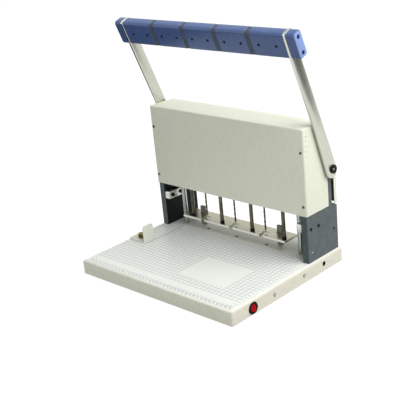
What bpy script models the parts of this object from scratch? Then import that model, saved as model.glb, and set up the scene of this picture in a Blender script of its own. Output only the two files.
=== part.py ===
"""Drill binding machine: a bench-top paper drill with three bits and a swinging lever.

The lever turns a cross shaft. Two sector gears on the shaft drive two racks, which lower the
drill head on its guide columns. Units are metres, X to the right, Y to the back, Z up, and the
origin lies on the resting surface under the middle of the base.
"""

import math

import bmesh
import bpy
from mathutils import Matrix, Vector

# Driving dimensions
BASE_WIDTH = 0.420
BASE_DEPTH = 0.340
BASE_HEIGHT = 0.0294
FOOT_PROJECTION = 0.004
HOUSING_WIDTH = 0.4142
HOUSING_TOP = 0.309
PIVOT_Y = 0.1426
PIVOT_Z = 0.2097
LEVER_LENGTH = 0.3120
LEVER_LEAN = math.radians(21.5)
DRILL_PITCH = 0.083
DRILL_CENTRE_X = -0.012
DRILL_Y = 0.097
DRILL_DIAMETER = 0.004
TIP_CLEARANCE = 0.0316
MESH_RADIUS = 0.030

# Fits
GAP = 0.0003
OVERRUN = 0.002
MERGE = 0.000001
SMOOTH_ANGLE = math.radians(35)
BEVEL_ANGLE = math.radians(40)

# Base
BASE_SHEET = 0.0025
BASE_FOLD = 0.0036
BASE_PLATE_SHEET = 0.002
BASE_PLATE_CORNER = 0.003
FOOT_RADIUS = 0.014
FOOT_TAPER = 0.002
FOOT_INSET_X = 0.030
FOOT_INSET_Y = 0.030
TABLE_TOP = FOOT_PROJECTION + BASE_HEIGHT

# Ruled mat
MAT_THICKNESS = 0.0005
MAT_MARGIN = 0.005
MAT_PLATE_GAP = 0.004
MAT_REAR_Y = 0.078
MAT_CORNER = 0.003

# Drill pad bar under the table
PAD_RADIUS = 0.0040
PAD_SINK = 0.0008
PAD_BAR_HEIGHT = 0.009
PAD_BAR_DEPTH = 0.022
PAD_BAR_END = 0.016
PAD_PIT_RADIUS = 0.0025
PAD_PIT_DEPTH = 0.0016

# Side plates
PLATE_THICKNESS = 0.0153
PLATE_FRONT_Y = 0.0660
PLATE_FOOT_REAR_Y = 0.1646
PLATE_REAR_Y = 0.1560
PLATE_STEP_Z = 0.1280
PLATE_NOTCH_DEPTH = 0.0073
PLATE_NOTCH_TOP = 0.1945
PLATE_KNEE_RISE = 0.0075
PLATE_TOP_DROP = 0.0050
PLATE_TOP_REAR_Y = 0.1205
PLATE_EDGE = 0.0008

# Front cover
COVER_SHEET = 0.0015
COVER_FOLD = 0.0030
COVER_FRONT_Y = PLATE_FRONT_Y - GAP - COVER_SHEET
COVER_BOTTOM_Z = 0.1335
COVER_SIDE_Y = 0.1350
COVER_SHOULDER_Z = 0.1960
COVER_SEAM_Y = 0.1090

# Rear cover
REAR_SIDE_INSET = 0.0036
REAR_HALF_WIDTH = HOUSING_WIDTH / 2 - REAR_SIDE_INSET
REAR_BACK_Y = 0.1695
REAR_KNEE_Z = 0.1990
REAR_TOP_Y = 0.1320
REAR_BOTTOM_Z = 0.1305
FLANGE_Y = PLATE_REAR_Y + 0.003
FLANGE_TOP_Y = PLATE_TOP_REAR_Y + 0.0035

# Guide columns, crown beam and stop blocks
COLUMN_INSET = 0.028
COLUMN_X = HOUSING_WIDTH / 2 - COVER_SHEET - GAP - PLATE_THICKNESS - COLUMN_INSET
COLUMN_RADIUS = 0.00575
COLUMN_CHAMFER = 0.001
CROWN_HEIGHT = 0.0145
CROWN_DEPTH = 0.032
CROWN_TOP_DROP = 0.006
STOP_BLOCK_DEPTH = 0.045
STOP_BLOCK_WIDTH = 0.0122
STOP_BLOCK_HEIGHT = 0.018
STOP_BLOCK_Z = 0.0960
STOP_BLOCK_CORNER = 0.0035

# Rear paper stops
REAR_STOP_SPACING = 0.218
REAR_STOP_Y = 0.1092
REAR_STOP_WIDTH = 0.0125
REAR_STOP_THICKNESS = 0.0045
REAR_STOP_TOP = 0.0775
REAR_STOP_CORNER = 0.0015

# Drill head
STROKE_ANGLE = math.radians(63)
HEAD_BOTTOM_Z = STOP_BLOCK_Z + STOP_BLOCK_HEIGHT + MESH_RADIUS * STROKE_ANGLE + GAP
HEAD_HEIGHT = 0.040
HEAD_DEPTH = 0.032
HEAD_FRONT_Y = 0.0780
HEAD_REACH = 0.024
HEAD_HALF_LENGTH = COLUMN_X + HEAD_REACH
HEAD_EDGE = 0.0015
COLUMN_CLEARANCE = 0.0003

# Sector gears and racks
GEAR_MODULE = 0.0025
PRESSURE_ANGLE = math.radians(20)
BACKLASH = 0.0007
ADDENDUM_SHARE = 0.9
DEDENDUM_SHARE = 1.25
SECTOR_START = math.radians(-20)
SECTOR_END = math.radians(80)
SECTOR_THICKNESS = 0.010
SECTOR_OFFSET = 0.011
SECTOR_X = COLUMN_X + SECTOR_OFFSET
SECTOR_HUB_RADIUS = 0.013
RACK_WIDTH = 0.012
RACK_OFFSET = 0.010
RACK_X = COLUMN_X + RACK_OFFSET
RACK_BACKING = 0.007
RACK_TEETH_ABOVE = 6
RACK_TEETH_BELOW = 2

# Spindles, chucks and bits
SPINDLE_RADIUS = 0.008
SPINDLE_COLLAR_RADIUS = 0.0105
SPINDLE_COLLAR_HEIGHT = 0.004
PULLEY_RADIUS = 0.014
PULLEY_HEIGHT = 0.010
PULLEY_LIP = 0.0012
PULLEY_TOP_RADIUS = 0.006
CHUCK_RADIUS = 0.011
CHUCK_HEIGHT = 0.027
CHUCK_NOSE_RADIUS = 0.0052
CHUCK_NOSE_HEIGHT = 0.009
CHUCK_BORE_DEPTH = 0.018
BIT_LEAD = 0.022
BIT_FLUTE_LENGTH = 0.052
BIT_FLUTE_DEPTH_SHARE = 0.52
BIT_POINT_SHARE = 0.30
BIT_RUNOUT = 0.004
BIT_STEPS_PER_TURN = 8
BIT_SIDES = 12

# Belt and motor
BELT_THICKNESS = 0.0018
BELT_INSET = 0.0012
MOTOR_X = 0.113
MOTOR_RADIUS = 0.027
MOTOR_HEIGHT = 0.066
MOTOR_EDGE = 0.003
MOTOR_LIFT = 0.0265
MOTOR_POST_RADIUS = 0.0030
MOTOR_POST_OFFSET = 0.022
MOTOR_SHAFT_RADIUS = 0.003
MOTOR_SHAFT_LENGTH = 0.012
MOTOR_BOSS_RADIUS = 0.009
MOTOR_BOSS_HEIGHT = 0.003

# Pressure plate and its rods
PRESS_LEFT_INSET = 0.0083
PRESS_RIGHT_INSET = 0.0280
PRESS_LEFT_X = PRESS_LEFT_INSET - COLUMN_X
PRESS_RIGHT_X = COLUMN_X - PRESS_RIGHT_INSET
PRESS_FRONT_Y = 0.0805
PRESS_DEPTH = 0.0435
PRESS_THICKNESS = 0.005
PRESS_TOP_Z = 0.0610
PRESS_EDGE = 0.0006
SLOT_HALF_WIDTH = 0.0045
SLOT_POCKET_HALF_WIDTH = 0.0075
SLOT_POCKET_DEPTH = 0.0070
PRESS_STOP_CLEARANCE = 0.0018
ROD_PITCH = 0.085
ROD_Y = 0.088
ROD_RADIUS = 0.004
ROD_FOOT_RADIUS = 0.0048
ROD_FOOT_HEIGHT = 0.010
ROD_HEAD_ROOM = 0.014
ROD_CHAMFER = 0.0006
ROD_CLEARANCE = 0.0004

# Lever
ARM_CLEARANCE = 0.0024
ARM_INNER_X = HOUSING_WIDTH / 2 + ARM_CLEARANCE
ARM_THICKNESS = 0.006
ARM_HALF_WIDTH = 0.0122
ARM_END_RADIUS = 0.0153
ARM_END_FORWARD = 0.003
ARM_END_DROP = 0.002
ARM_SHOULDER = 0.120
ARM_TOP_CORNER = 0.0045
ARM_EDGE = 0.0012
SHAFT_RADIUS = 0.007
BOLT_RADIUS = 0.004
BOLT_HEAD_RADIUS = 0.009
BOLT_HEAD_HEIGHT = 0.0032
BOLT_LENGTH = 0.018
BOLT_SOCKET_RADIUS = 0.0027
BOLT_SOCKET_DEPTH = 0.002
BOLT_CHAMFER = 0.001

# Grip
GRIP_BLOCKS = 5
GRIP_BLOCK_PITCH = 2 * ARM_INNER_X / GRIP_BLOCKS
GRIP_HEIGHT = 0.052
GRIP_DEPTH = 0.0235
GRIP_CORNER = 0.0062
GRIP_EDGE = 0.0007
GRIP_SPACER_WIDTH = 0.010
GRIP_SPACER_RECESS = 0.0004
GRIP_TOP_ROOM = 0.0004
GRIP_WELL_RADIUS = 0.0024
GRIP_CAP_WELL_RADIUS = 0.0033
GRIP_WELL_DEPTH = 0.003
GRIP_BLOCK_WELLS = 0.041
GRIP_CAP_WELLS = 0.032
GRIP_CAP_WIDTH = 0.0195
GRIP_CAP_EDGE = 0.0035
GRIP_BAR_HEIGHT = 0.032
GRIP_BAR_DEPTH = 0.008

# Side stop and its screw
STOP_FACE_INSET = 0.0530
STOP_TIP_INSET = 0.0040
STOP_SCREW_INSET = 0.0280
STOP_FACE_X = STOP_FACE_INSET - BASE_WIDTH / 2
STOP_TIP_X = STOP_TIP_INSET - BASE_WIDTH / 2
STOP_Y = -0.0247
STOP_WIDTH = 0.0283
STOP_SHEET = 0.003
STOP_TOP_Z = 0.0720
STOP_CORNER = 0.006
STOP_FOOT_CORNER = 0.002
STOP_SCREW_X = STOP_SCREW_INSET - BASE_WIDTH / 2
STOP_TRAVEL = 0.006
SCREW_SHANK_RADIUS = 0.0027
SCREW_SHANK_LENGTH = 0.014
SCREW_HEAD_RADIUS = 0.0065
SCREW_HEAD_HEIGHT = 0.0105
SCREW_COLLAR_RADIUS = 0.0048
SCREW_COLLAR_HEIGHT = 0.0008
SCREW_KNURLS = 20
SCREW_KNURL_DEPTH = 0.0005

# Switch
SWITCH_INSET = 0.058
SWITCH_Y = SWITCH_INSET - BASE_DEPTH / 2
SWITCH_Z = 0.0175
BEZEL_RADIUS = 0.012
BEZEL_PROJECTION = 0.0018
BEZEL_BARREL_RADIUS = 0.0098
BEZEL_BARREL_LENGTH = 0.012
BEZEL_BORE_RADIUS = 0.0083
BEZEL_FLOOR = 0.002
BEZEL_CHAMFER = 0.0006
ROCKER_RADIUS = 0.0074
ROCKER_DEPTH = 0.0050
ROCKER_SINK = 0.0024
ROCKER_DISH = 0.0009
ROCKER_TILT = math.radians(8)

# Power inlet and cable plug hole
INLET_X = 0.120
INLET_Z = 0.0175
INLET_WIDTH = 0.030
INLET_HEIGHT = 0.0225
INLET_DEPTH = 0.024
INLET_CORNER = 0.0025
INLET_WALL = 0.003
INLET_CAVITY_DEPTH = 0.016
INLET_CAVITY_CUT = 0.0045
PIN_SPACING = 0.007
PIN_RISE = 0.002
PIN_WIDTH = 0.002
PIN_HEIGHT = 0.004
PIN_LENGTH = 0.010
SIDE_HOLE_INSET = 0.063
SIDE_HOLE_Y = BASE_DEPTH / 2 - SIDE_HOLE_INSET
SIDE_HOLE_Z = 0.0202
SIDE_HOLE_RADIUS = 0.0042

# Facets
SIDES_FINE = 12
SIDES_SMALL = 16
SIDES_ROUND = 20
ARC_STEPS = 4
FOLD_STEPS = 3
FLANK_STEPS = 3

FINISHES = {
    "cream_paint": ((0.76, 0.77, 0.68), 0.45, 0.0),
    "mat_print": ((0.84, 0.87, 0.86), 0.35, 0.0),
    "grey_paint": ((0.10, 0.13, 0.145), 0.50, 0.0),
    "blue_plastic": ((0.085, 0.125, 0.36), 0.40, 0.0),
    "grey_plastic": ((0.13, 0.15, 0.14), 0.50, 0.0),
    "stop_plastic": ((0.72, 0.73, 0.68), 0.50, 0.0),
    "satin_steel": ((0.55, 0.54, 0.49), 0.35, 1.0),
    "bright_steel": ((0.66, 0.66, 0.63), 0.22, 1.0),
    "dark_steel": ((0.05, 0.05, 0.05), 0.40, 1.0),
    "aluminium": ((0.60, 0.60, 0.58), 0.45, 1.0),
    "brass": ((0.45, 0.30, 0.09), 0.35, 1.0),
    "rubber": ((0.02, 0.02, 0.02), 0.80, 0.0),
    "black_plastic": ((0.02, 0.02, 0.022), 0.45, 0.0),
    "red_plastic": ((0.50, 0.012, 0.015), 0.30, 0.0),
    "belt_rubber": ((0.03, 0.03, 0.03), 0.70, 0.0),
}


# Tools shared by the pieces
def clear_scene():
    for obj in list(bpy.data.objects):
        bpy.data.objects.remove(obj)


def finish_material(finish):
    found = bpy.data.materials.get(finish)
    if found:
        return found
    colour, roughness, metallic = FINISHES[finish]
    material = bpy.data.materials.new(finish)
    material.use_nodes = True
    shader = material.node_tree.nodes["Principled BSDF"]
    shader.inputs["Base Color"].default_value = (*colour, 1.0)
    shader.inputs["Roughness"].default_value = roughness
    shader.inputs["Metallic"].default_value = metallic
    return material


def link(name, mesh, finish, location, parent):
    """Put a mesh in the scene as one named piece."""
    piece = bpy.data.objects.new(name, mesh)
    bpy.context.scene.collection.objects.link(piece)
    piece.location = location
    piece.parent = parent
    if finish and not mesh.materials:
        mesh.materials.append(finish_material(f"{finish}"))
    return piece


def solid(name, bm, finish, location=(0, 0, 0), parent=None):
    """Turn a closed bmesh into a piece with its faces pointing out."""
    bmesh.ops.recalc_face_normals(bm, faces=bm.faces)
    mesh = bpy.data.meshes.new(name)
    bm.to_mesh(mesh)
    bm.free()
    mesh.shade_smooth()
    mesh.set_sharp_from_angle(angle=SMOOTH_ANGLE)
    return link(name, mesh, finish, location, parent)


def pivot_empty(name, location, lean=0, parent=None):
    """An empty on a joint's axis, which carries what moves."""
    empty = bpy.data.objects.new(name, None)
    bpy.context.scene.collection.objects.link(empty)
    empty.location = location
    empty.rotation_euler = (lean, 0, 0)
    empty.parent = parent
    return empty


def along(axis, first, second, third):
    """Place an outline's two coordinates across the axis, and the third along it."""
    if axis == "X":
        return Vector((third, first, second))
    if axis == "Y":
        return Vector((first, third, second))
    return Vector((first, second, third))


def prism(name, outline, axis, start, end, finish=None, location=(0, 0, 0), parent=None):
    """Extrude a closed outline from start to end along an axis."""
    bm = bmesh.new()
    corners = [bm.verts.new(along(axis, a, b, start)) for a, b in outline]
    face = bm.faces.new(corners)
    grown = bmesh.ops.extrude_face_region(bm, geom=[face])
    moved = [item for item in grown["geom"] if isinstance(item, bmesh.types.BMVert)]
    bmesh.ops.translate(bm, verts=moved, vec=along(axis, 0, 0, end - start))
    return solid(name, bm, finish, location, parent)


def turned(name, profile, axis, sides, finish=None, location=(0, 0, 0), parent=None, closed=False):
    """Spin a profile of (radius, height) points round an axis."""
    bm = bmesh.new()
    points = [bm.verts.new((radius, 0, height)) for radius, height in profile]
    pairs = list(zip(points, points[1:]))
    if closed:
        pairs.append((points[-1], points[0]))
    edges = [bm.edges.new(pair) for pair in pairs]
    bmesh.ops.spin(bm, geom=points + edges, axis=(0, 0, 1), cent=(0, 0, 0),
                   angle=2 * math.pi, steps=sides, use_merge=True)
    bmesh.ops.remove_doubles(bm, verts=bm.verts, dist=MERGE)
    if axis == "X":
        bmesh.ops.rotate(bm, verts=bm.verts, matrix=Matrix.Rotation(math.pi / 2, 3, "Y"))
    if axis == "Y":
        bmesh.ops.rotate(bm, verts=bm.verts, matrix=Matrix.Rotation(-math.pi / 2, 3, "X"))
    return solid(name, bm, finish, location, parent)


def rod_profile(radius, bottom, top, chamfer=0):
    """Profile of a plain round bar with both ends chamfered."""
    if not chamfer:
        return [(0, bottom), (radius, bottom), (radius, top), (0, top)]
    return [(0, bottom), (radius - chamfer, bottom), (radius, bottom + chamfer),
            (radius, top - chamfer), (radius - chamfer, top), (0, top)]


def arc(centre, radius, start, end, steps):
    """Points on an arc, both ends included."""
    turn = (end - start) / steps
    return [(centre[0] + radius * math.cos(start + turn * step),
             centre[1] + radius * math.sin(start + turn * step)) for step in range(steps + 1)]


def rounded_rectangle(left, right, low, high, radii, steps=ARC_STEPS):
    """Outline with a radius for each corner: low left, low right, high right, high left."""
    places = [(left, low, 1, 1, math.pi), (right, low, -1, 1, 1.5 * math.pi),
              (right, high, -1, -1, 0), (left, high, 1, -1, 0.5 * math.pi)]
    outline = []
    for (x, y, inward_x, inward_y, start), radius in zip(places, radii):
        if radius:
            centre = (x + inward_x * radius, y + inward_y * radius)
            outline += arc(centre, radius, start, start + math.pi / 2, steps)
        else:
            outline.append((x, y))
    return outline


def stadium(centre, reach, radius, steps=2 * ARC_STEPS):
    """Outline of a slot along the first coordinate, with round ends."""
    right = arc((centre[0] + reach, centre[1]), radius, -math.pi / 2, math.pi / 2, steps)
    left = arc((centre[0] - reach, centre[1]), radius, math.pi / 2, 1.5 * math.pi, steps)
    return right + left


def soften(piece, width, segments=1):
    """Round or chamfer the piece's sharp edges."""
    modifier = piece.modifiers.new("edges", "BEVEL")
    modifier.width = width
    modifier.segments = segments
    modifier.limit_method = "ANGLE"
    modifier.angle_limit = BEVEL_ANGLE
    return piece


def as_guide(tool):
    tool.hide_render = True
    tool.display_type = "WIRE"
    return tool


def combine(piece, tool, operation):
    modifier = piece.modifiers.new(operation.lower(), "BOOLEAN")
    modifier.operation = operation
    modifier.solver = "EXACT"
    modifier.object = as_guide(tool)
    tool.parent = piece.parent
    return piece


def cut(piece, tool):
    return combine(piece, tool, "DIFFERENCE")


def bore(piece, axis, radius, centre, start, end, sides=SIDES_SMALL):
    """Drill a round hole through a piece, from start to end along an axis."""
    tool = turned(f"{piece.name}_bore", rod_profile(radius, start, end), axis, sides,
                  location=along(axis, centre[0], centre[1], 0))
    return cut(piece, tool)


def folded_sheet(name, panels, fold, sheet, finish):
    """Bent sheet metal: panels that share an edge are folded there, and the sheet is thickened in."""
    bm = bmesh.new()
    for panel in panels:
        bm.faces.new([bm.verts.new(corner) for corner in panel])
    bmesh.ops.remove_doubles(bm, verts=bm.verts, dist=MERGE)
    bmesh.ops.recalc_face_normals(bm, faces=bm.faces)
    middle = sum((vert.co for vert in bm.verts), Vector()) / len(bm.verts)
    bm.faces.ensure_lookup_table()
    first = bm.faces[0]
    if first.normal.dot(first.calc_center_median() - middle) < 0:
        bmesh.ops.reverse_faces(bm, faces=bm.faces)
    folds = [edge for edge in bm.edges if len(edge.link_faces) == 2]
    bmesh.ops.bevel(bm, geom=folds, offset=fold, segments=FOLD_STEPS, profile=0.5,
                    affect="EDGES", clamp_overlap=True)
    mesh = bpy.data.meshes.new(name)
    bm.to_mesh(mesh)
    bm.free()
    mesh.shade_smooth()
    mesh.set_sharp_from_angle(angle=SMOOTH_ANGLE)
    piece = link(name, mesh, finish, (0, 0, 0), None)
    thickness = piece.modifiers.new("sheet", "SOLIDIFY")
    thickness.thickness = sheet
    thickness.offset = -1
    thickness.use_even_offset = True
    thickness.use_rim = True
    return piece


def drill_places():
    return [DRILL_CENTRE_X + DRILL_PITCH * step for step in (-1, 0, 1)]


def rod_places():
    return [ROD_PITCH * step / 2 for step in (-3, -1, 1, 3)]


# Base
def base_tray():
    half_x = BASE_WIDTH / 2
    half_y = BASE_DEPTH / 2
    low = FOOT_PROJECTION
    high = TABLE_TOP
    ring = [(-half_x, -half_y), (half_x, -half_y), (half_x, half_y), (-half_x, half_y)]
    panels = [[(x, y, high) for x, y in ring]]
    for (x0, y0), (x1, y1) in zip(ring, ring[1:] + ring[:1]):
        panels.append([(x0, y0, low), (x1, y1, low), (x1, y1, high), (x0, y0, high)])
    tray = folded_sheet("base_tray", panels, BASE_FOLD, BASE_SHEET, "cream_paint")
    below = high - BASE_SHEET - OVERRUN
    above = high + OVERRUN
    for x in drill_places():
        bore(tray, "Z", PAD_RADIUS, (x, DRILL_Y), below, above)
    bore(tray, "Z", SCREW_SHANK_RADIUS + GAP, (STOP_SCREW_X, STOP_Y), below, above)
    inside = half_x - BASE_SHEET - OVERRUN
    outside = half_x + OVERRUN
    bore(tray, "X", BEZEL_BARREL_RADIUS + GAP, (SWITCH_Y, SWITCH_Z), inside, outside, SIDES_ROUND)
    bore(tray, "X", SIDE_HOLE_RADIUS, (SIDE_HOLE_Y, SIDE_HOLE_Z), inside, outside)
    opening = rounded_rectangle(INLET_X - INLET_WIDTH / 2 - GAP, INLET_X + INLET_WIDTH / 2 + GAP,
                                INLET_Z - INLET_HEIGHT / 2 - GAP, INLET_Z + INLET_HEIGHT / 2 + GAP,
                                [INLET_CORNER] * 4)
    tool = prism("inlet_opening", opening, "Y", half_y - BASE_SHEET - OVERRUN, half_y + OVERRUN)
    return cut(tray, tool)


def base_plate():
    half_x = BASE_WIDTH / 2 - BASE_SHEET - GAP
    half_y = BASE_DEPTH / 2 - BASE_SHEET - GAP
    outline = rounded_rectangle(-half_x, half_x, -half_y, half_y, [BASE_PLATE_CORNER] * 4, 1)
    return prism("base_plate", outline, "Z", FOOT_PROJECTION, FOOT_PROJECTION + BASE_PLATE_SHEET,
                 "satin_steel")


def rubber_feet():
    top = FOOT_PROJECTION - GAP
    profile = [(0, 0), (FOOT_RADIUS - FOOT_TAPER, 0), (FOOT_RADIUS, top), (0, top)]
    names = {"front_left": (-1, -1), "front_right": (1, -1), "rear_left": (-1, 1), "rear_right": (1, 1)}
    for name, (side, end) in names.items():
        place = (side * (BASE_WIDTH / 2 - FOOT_INSET_X), end * (BASE_DEPTH / 2 - FOOT_INSET_Y), 0)
        turned(f"rubber_foot_{name}", profile, "Z", SIDES_SMALL, "rubber", place)


def ruled_mat():
    """Printed film on the table, narrower where it runs in between the side plates."""
    wide = BASE_WIDTH / 2 - MAT_MARGIN
    narrow = plate_outer_x() - PLATE_THICKNESS - MAT_PLATE_GAP
    front = -BASE_DEPTH / 2 + MAT_MARGIN
    shoulder = PLATE_FRONT_Y - MAT_PLATE_GAP
    low = TABLE_TOP + GAP
    corners = rounded_rectangle(-wide, wide, front, shoulder, [MAT_CORNER] * 4, 2)
    half = len(corners) * 3 // 4
    outline = corners[:half] + [(narrow, shoulder), (narrow, MAT_REAR_Y), (-narrow, MAT_REAR_Y),
                                (-narrow, shoulder)] + corners[half:]
    mat = prism("ruled_mat", outline, "Z", low, low + MAT_THICKNESS, "mat_print")
    return bore(mat, "Z", SCREW_SHANK_RADIUS + GAP, (STOP_SCREW_X, STOP_Y), low - OVERRUN,
                low + MAT_THICKNESS + OVERRUN)


def drill_pad_bar():
    """Plastic bar under the table with a raised pad in each drill opening."""
    top = TABLE_TOP - BASE_SHEET - GAP
    places = drill_places()
    left = places[0] - PAD_BAR_END
    right = places[-1] + PAD_BAR_END
    outline = rounded_rectangle(left, right, DRILL_Y - PAD_BAR_DEPTH / 2, DRILL_Y + PAD_BAR_DEPTH / 2,
                                [PAD_BAR_DEPTH / 4] * 4)
    bar = prism("drill_pad_bar", outline, "Z", top - PAD_BAR_HEIGHT, top, "black_plastic")
    face = TABLE_TOP - PAD_SINK
    profile = [(0, top - OVERRUN), (PAD_RADIUS - GAP, top - OVERRUN), (PAD_RADIUS - GAP, face),
               (PAD_PIT_RADIUS, face), (PAD_PIT_RADIUS, face - PAD_PIT_DEPTH), (0, face - PAD_PIT_DEPTH)]
    for x in places:
        combine(bar, turned("pad_boss", profile, "Z", SIDES_SMALL, location=(x, DRILL_Y, 0)), "UNION")
    return bar


# Housing
def plate_outer_x():
    return HOUSING_WIDTH / 2 - COVER_SHEET - GAP


def plate_inner_x():
    return plate_outer_x() - PLATE_THICKNESS


def plate_outline():
    top = HOUSING_TOP - PLATE_TOP_DROP
    notch = PLATE_REAR_Y - PLATE_NOTCH_DEPTH
    return [(PLATE_FRONT_Y, TABLE_TOP + GAP), (PLATE_FOOT_REAR_Y, TABLE_TOP + GAP),
            (PLATE_FOOT_REAR_Y, PLATE_STEP_Z), (notch, PLATE_STEP_Z),
            (notch, PLATE_NOTCH_TOP), (PLATE_REAR_Y, PLATE_NOTCH_TOP),
            (PLATE_REAR_Y, PIVOT_Z + PLATE_KNEE_RISE), (PLATE_TOP_REAR_Y, top),
            (PLATE_FRONT_Y + COVER_FOLD, top), (PLATE_FRONT_Y, top - COVER_FOLD)]


def side_plate(side, name):
    inner = side * plate_inner_x()
    outer = side * plate_outer_x()
    start, end = sorted((inner, outer))
    plate = prism(f"side_plate_{name}", plate_outline(), "X", start, end, "grey_paint")
    soften(plate, PLATE_EDGE)
    return bore(plate, "X", SHAFT_RADIUS + GAP, (PIVOT_Y, PIVOT_Z), start - OVERRUN, end + OVERRUN,
                SIDES_ROUND)


def front_cover():
    """One sheet folded over the front, the top and both sides of the housing."""
    half = HOUSING_WIDTH / 2
    side = [(COVER_FRONT_Y, COVER_BOTTOM_Z), (COVER_SIDE_Y, COVER_BOTTOM_Z),
            (COVER_SIDE_Y, COVER_SHOULDER_Z), (COVER_SEAM_Y, HOUSING_TOP), (COVER_FRONT_Y, HOUSING_TOP)]
    left = [(-half, y, z) for y, z in side]
    right = [(half, y, z) for y, z in side]
    front = [left[0], right[0], right[4], left[4]]
    top = [left[4], right[4], right[3], left[3]]
    return folded_sheet("front_cover", [front, top, left, right], COVER_FOLD, COVER_SHEET, "cream_paint")


def rear_cover():
    """Back, slope and top strip with a side flange behind each side plate."""
    rim = [(FLANGE_TOP_Y, HOUSING_TOP), (REAR_TOP_Y, HOUSING_TOP), (REAR_BACK_Y, REAR_KNEE_Z),
           (REAR_BACK_Y, REAR_BOTTOM_Z), (FLANGE_Y, REAR_BOTTOM_Z), (FLANGE_Y, PIVOT_Z + PLATE_KNEE_RISE)]
    left = [(-REAR_HALF_WIDTH, y, z) for y, z in rim]
    right = [(REAR_HALF_WIDTH, y, z) for y, z in rim]
    seam = COVER_SEAM_Y + GAP
    edge = [(-REAR_HALF_WIDTH, seam, HOUSING_TOP), (REAR_HALF_WIDTH, seam, HOUSING_TOP)]
    top = [edge[0], left[0], left[1], right[1], right[0], edge[1]]
    slope = [left[1], left[2], right[2], right[1]]
    back = [left[2], left[3], right[3], right[2]]
    return folded_sheet("rear_cover", [back, slope, top, left, right], COVER_FOLD, COVER_SHEET, "cream_paint")


def crown_beam():
    """Cross beam that ties the side plates and caps the guide columns."""
    top = HOUSING_TOP - CROWN_TOP_DROP
    half = plate_inner_x() - GAP
    outline = [(DRILL_Y - CROWN_DEPTH / 2, top - CROWN_HEIGHT), (DRILL_Y + CROWN_DEPTH / 2, top - CROWN_HEIGHT),
               (DRILL_Y + CROWN_DEPTH / 2, top), (DRILL_Y - CROWN_DEPTH / 2, top)]
    return soften(prism("crown_beam", outline, "X", -half, half, "satin_steel"), PLATE_EDGE)


def guide_column(side, name):
    bottom = TABLE_TOP + GAP
    top = HOUSING_TOP - CROWN_TOP_DROP - CROWN_HEIGHT - GAP
    profile = rod_profile(COLUMN_RADIUS, bottom, top, COLUMN_CHAMFER)
    return turned(f"guide_column_{name}", profile, "Z", SIDES_ROUND, "bright_steel",
                  (side * COLUMN_X, DRILL_Y, 0))


def stop_block(side, name):
    """Block bolted inside a side plate, on which the drill head lands at the end of its stroke."""
    outline = rounded_rectangle(PLATE_FRONT_Y, PLATE_FRONT_Y + STOP_BLOCK_DEPTH, STOP_BLOCK_Z,
                                STOP_BLOCK_Z + STOP_BLOCK_HEIGHT, [STOP_BLOCK_CORNER] * 4)
    outer = side * (plate_inner_x() - GAP)
    inner = side * (plate_inner_x() - GAP - STOP_BLOCK_WIDTH)
    start, end = sorted((inner, outer))
    return soften(prism(f"stop_block_{name}", outline, "X", start, end, "aluminium"), PLATE_EDGE)


def rear_stop_x(side):
    return DRILL_CENTRE_X + side * REAR_STOP_SPACING / 2


def rear_stop(side, name):
    """Upright finger that the back edge of the paper meets."""
    middle = rear_stop_x(side)
    radii = [0, 0, REAR_STOP_CORNER, REAR_STOP_CORNER]
    outline = rounded_rectangle(middle - REAR_STOP_WIDTH / 2, middle + REAR_STOP_WIDTH / 2,
                                TABLE_TOP + GAP, REAR_STOP_TOP, radii, 2)
    return prism(f"rear_paper_stop_{name}", outline, "Y", REAR_STOP_Y, REAR_STOP_Y + REAR_STOP_THICKNESS,
                 "grey_plastic")


# Drill head
def head_top_z():
    return HEAD_BOTTOM_Z + HEAD_HEIGHT


def drill_head(carrier):
    """Cross beam that slides on the columns and carries spindles, rods, racks and motor."""
    outline = [(HEAD_FRONT_Y, HEAD_BOTTOM_Z), (HEAD_FRONT_Y + HEAD_DEPTH, HEAD_BOTTOM_Z),
               (HEAD_FRONT_Y + HEAD_DEPTH, head_top_z()), (HEAD_FRONT_Y, head_top_z())]
    head = prism("drill_head", outline, "X", -HEAD_HALF_LENGTH, HEAD_HALF_LENGTH, "aluminium",
                 parent=carrier)
    soften(head, HEAD_EDGE)
    low = HEAD_BOTTOM_Z - OVERRUN
    high = head_top_z() + OVERRUN
    for side in (-1, 1):
        bore(head, "Z", COLUMN_RADIUS + COLUMN_CLEARANCE, (side * COLUMN_X, DRILL_Y), low, high, SIDES_ROUND)
    for x in drill_places():
        bore(head, "Z", SPINDLE_RADIUS + GAP, (x, DRILL_Y), low, high, SIDES_ROUND)
    for x in rod_places():
        bore(head, "Z", ROD_RADIUS + ROD_CLEARANCE, (x, ROD_Y), low, high)
    return head


def tooth_half_angle(radius):
    """Half the angle that an involute tooth fills at a radius, thinned by the backlash."""
    base = MESH_RADIUS * math.cos(PRESSURE_ANGLE)
    at_pitch = math.pi * GEAR_MODULE / 4 / MESH_RADIUS - BACKLASH / 2 / MESH_RADIUS
    roll = math.acos(min(1, base / radius))
    involute = math.tan(roll) - roll
    reference = math.tan(PRESSURE_ANGLE) - PRESSURE_ANGLE
    return at_pitch + reference - involute


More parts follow.
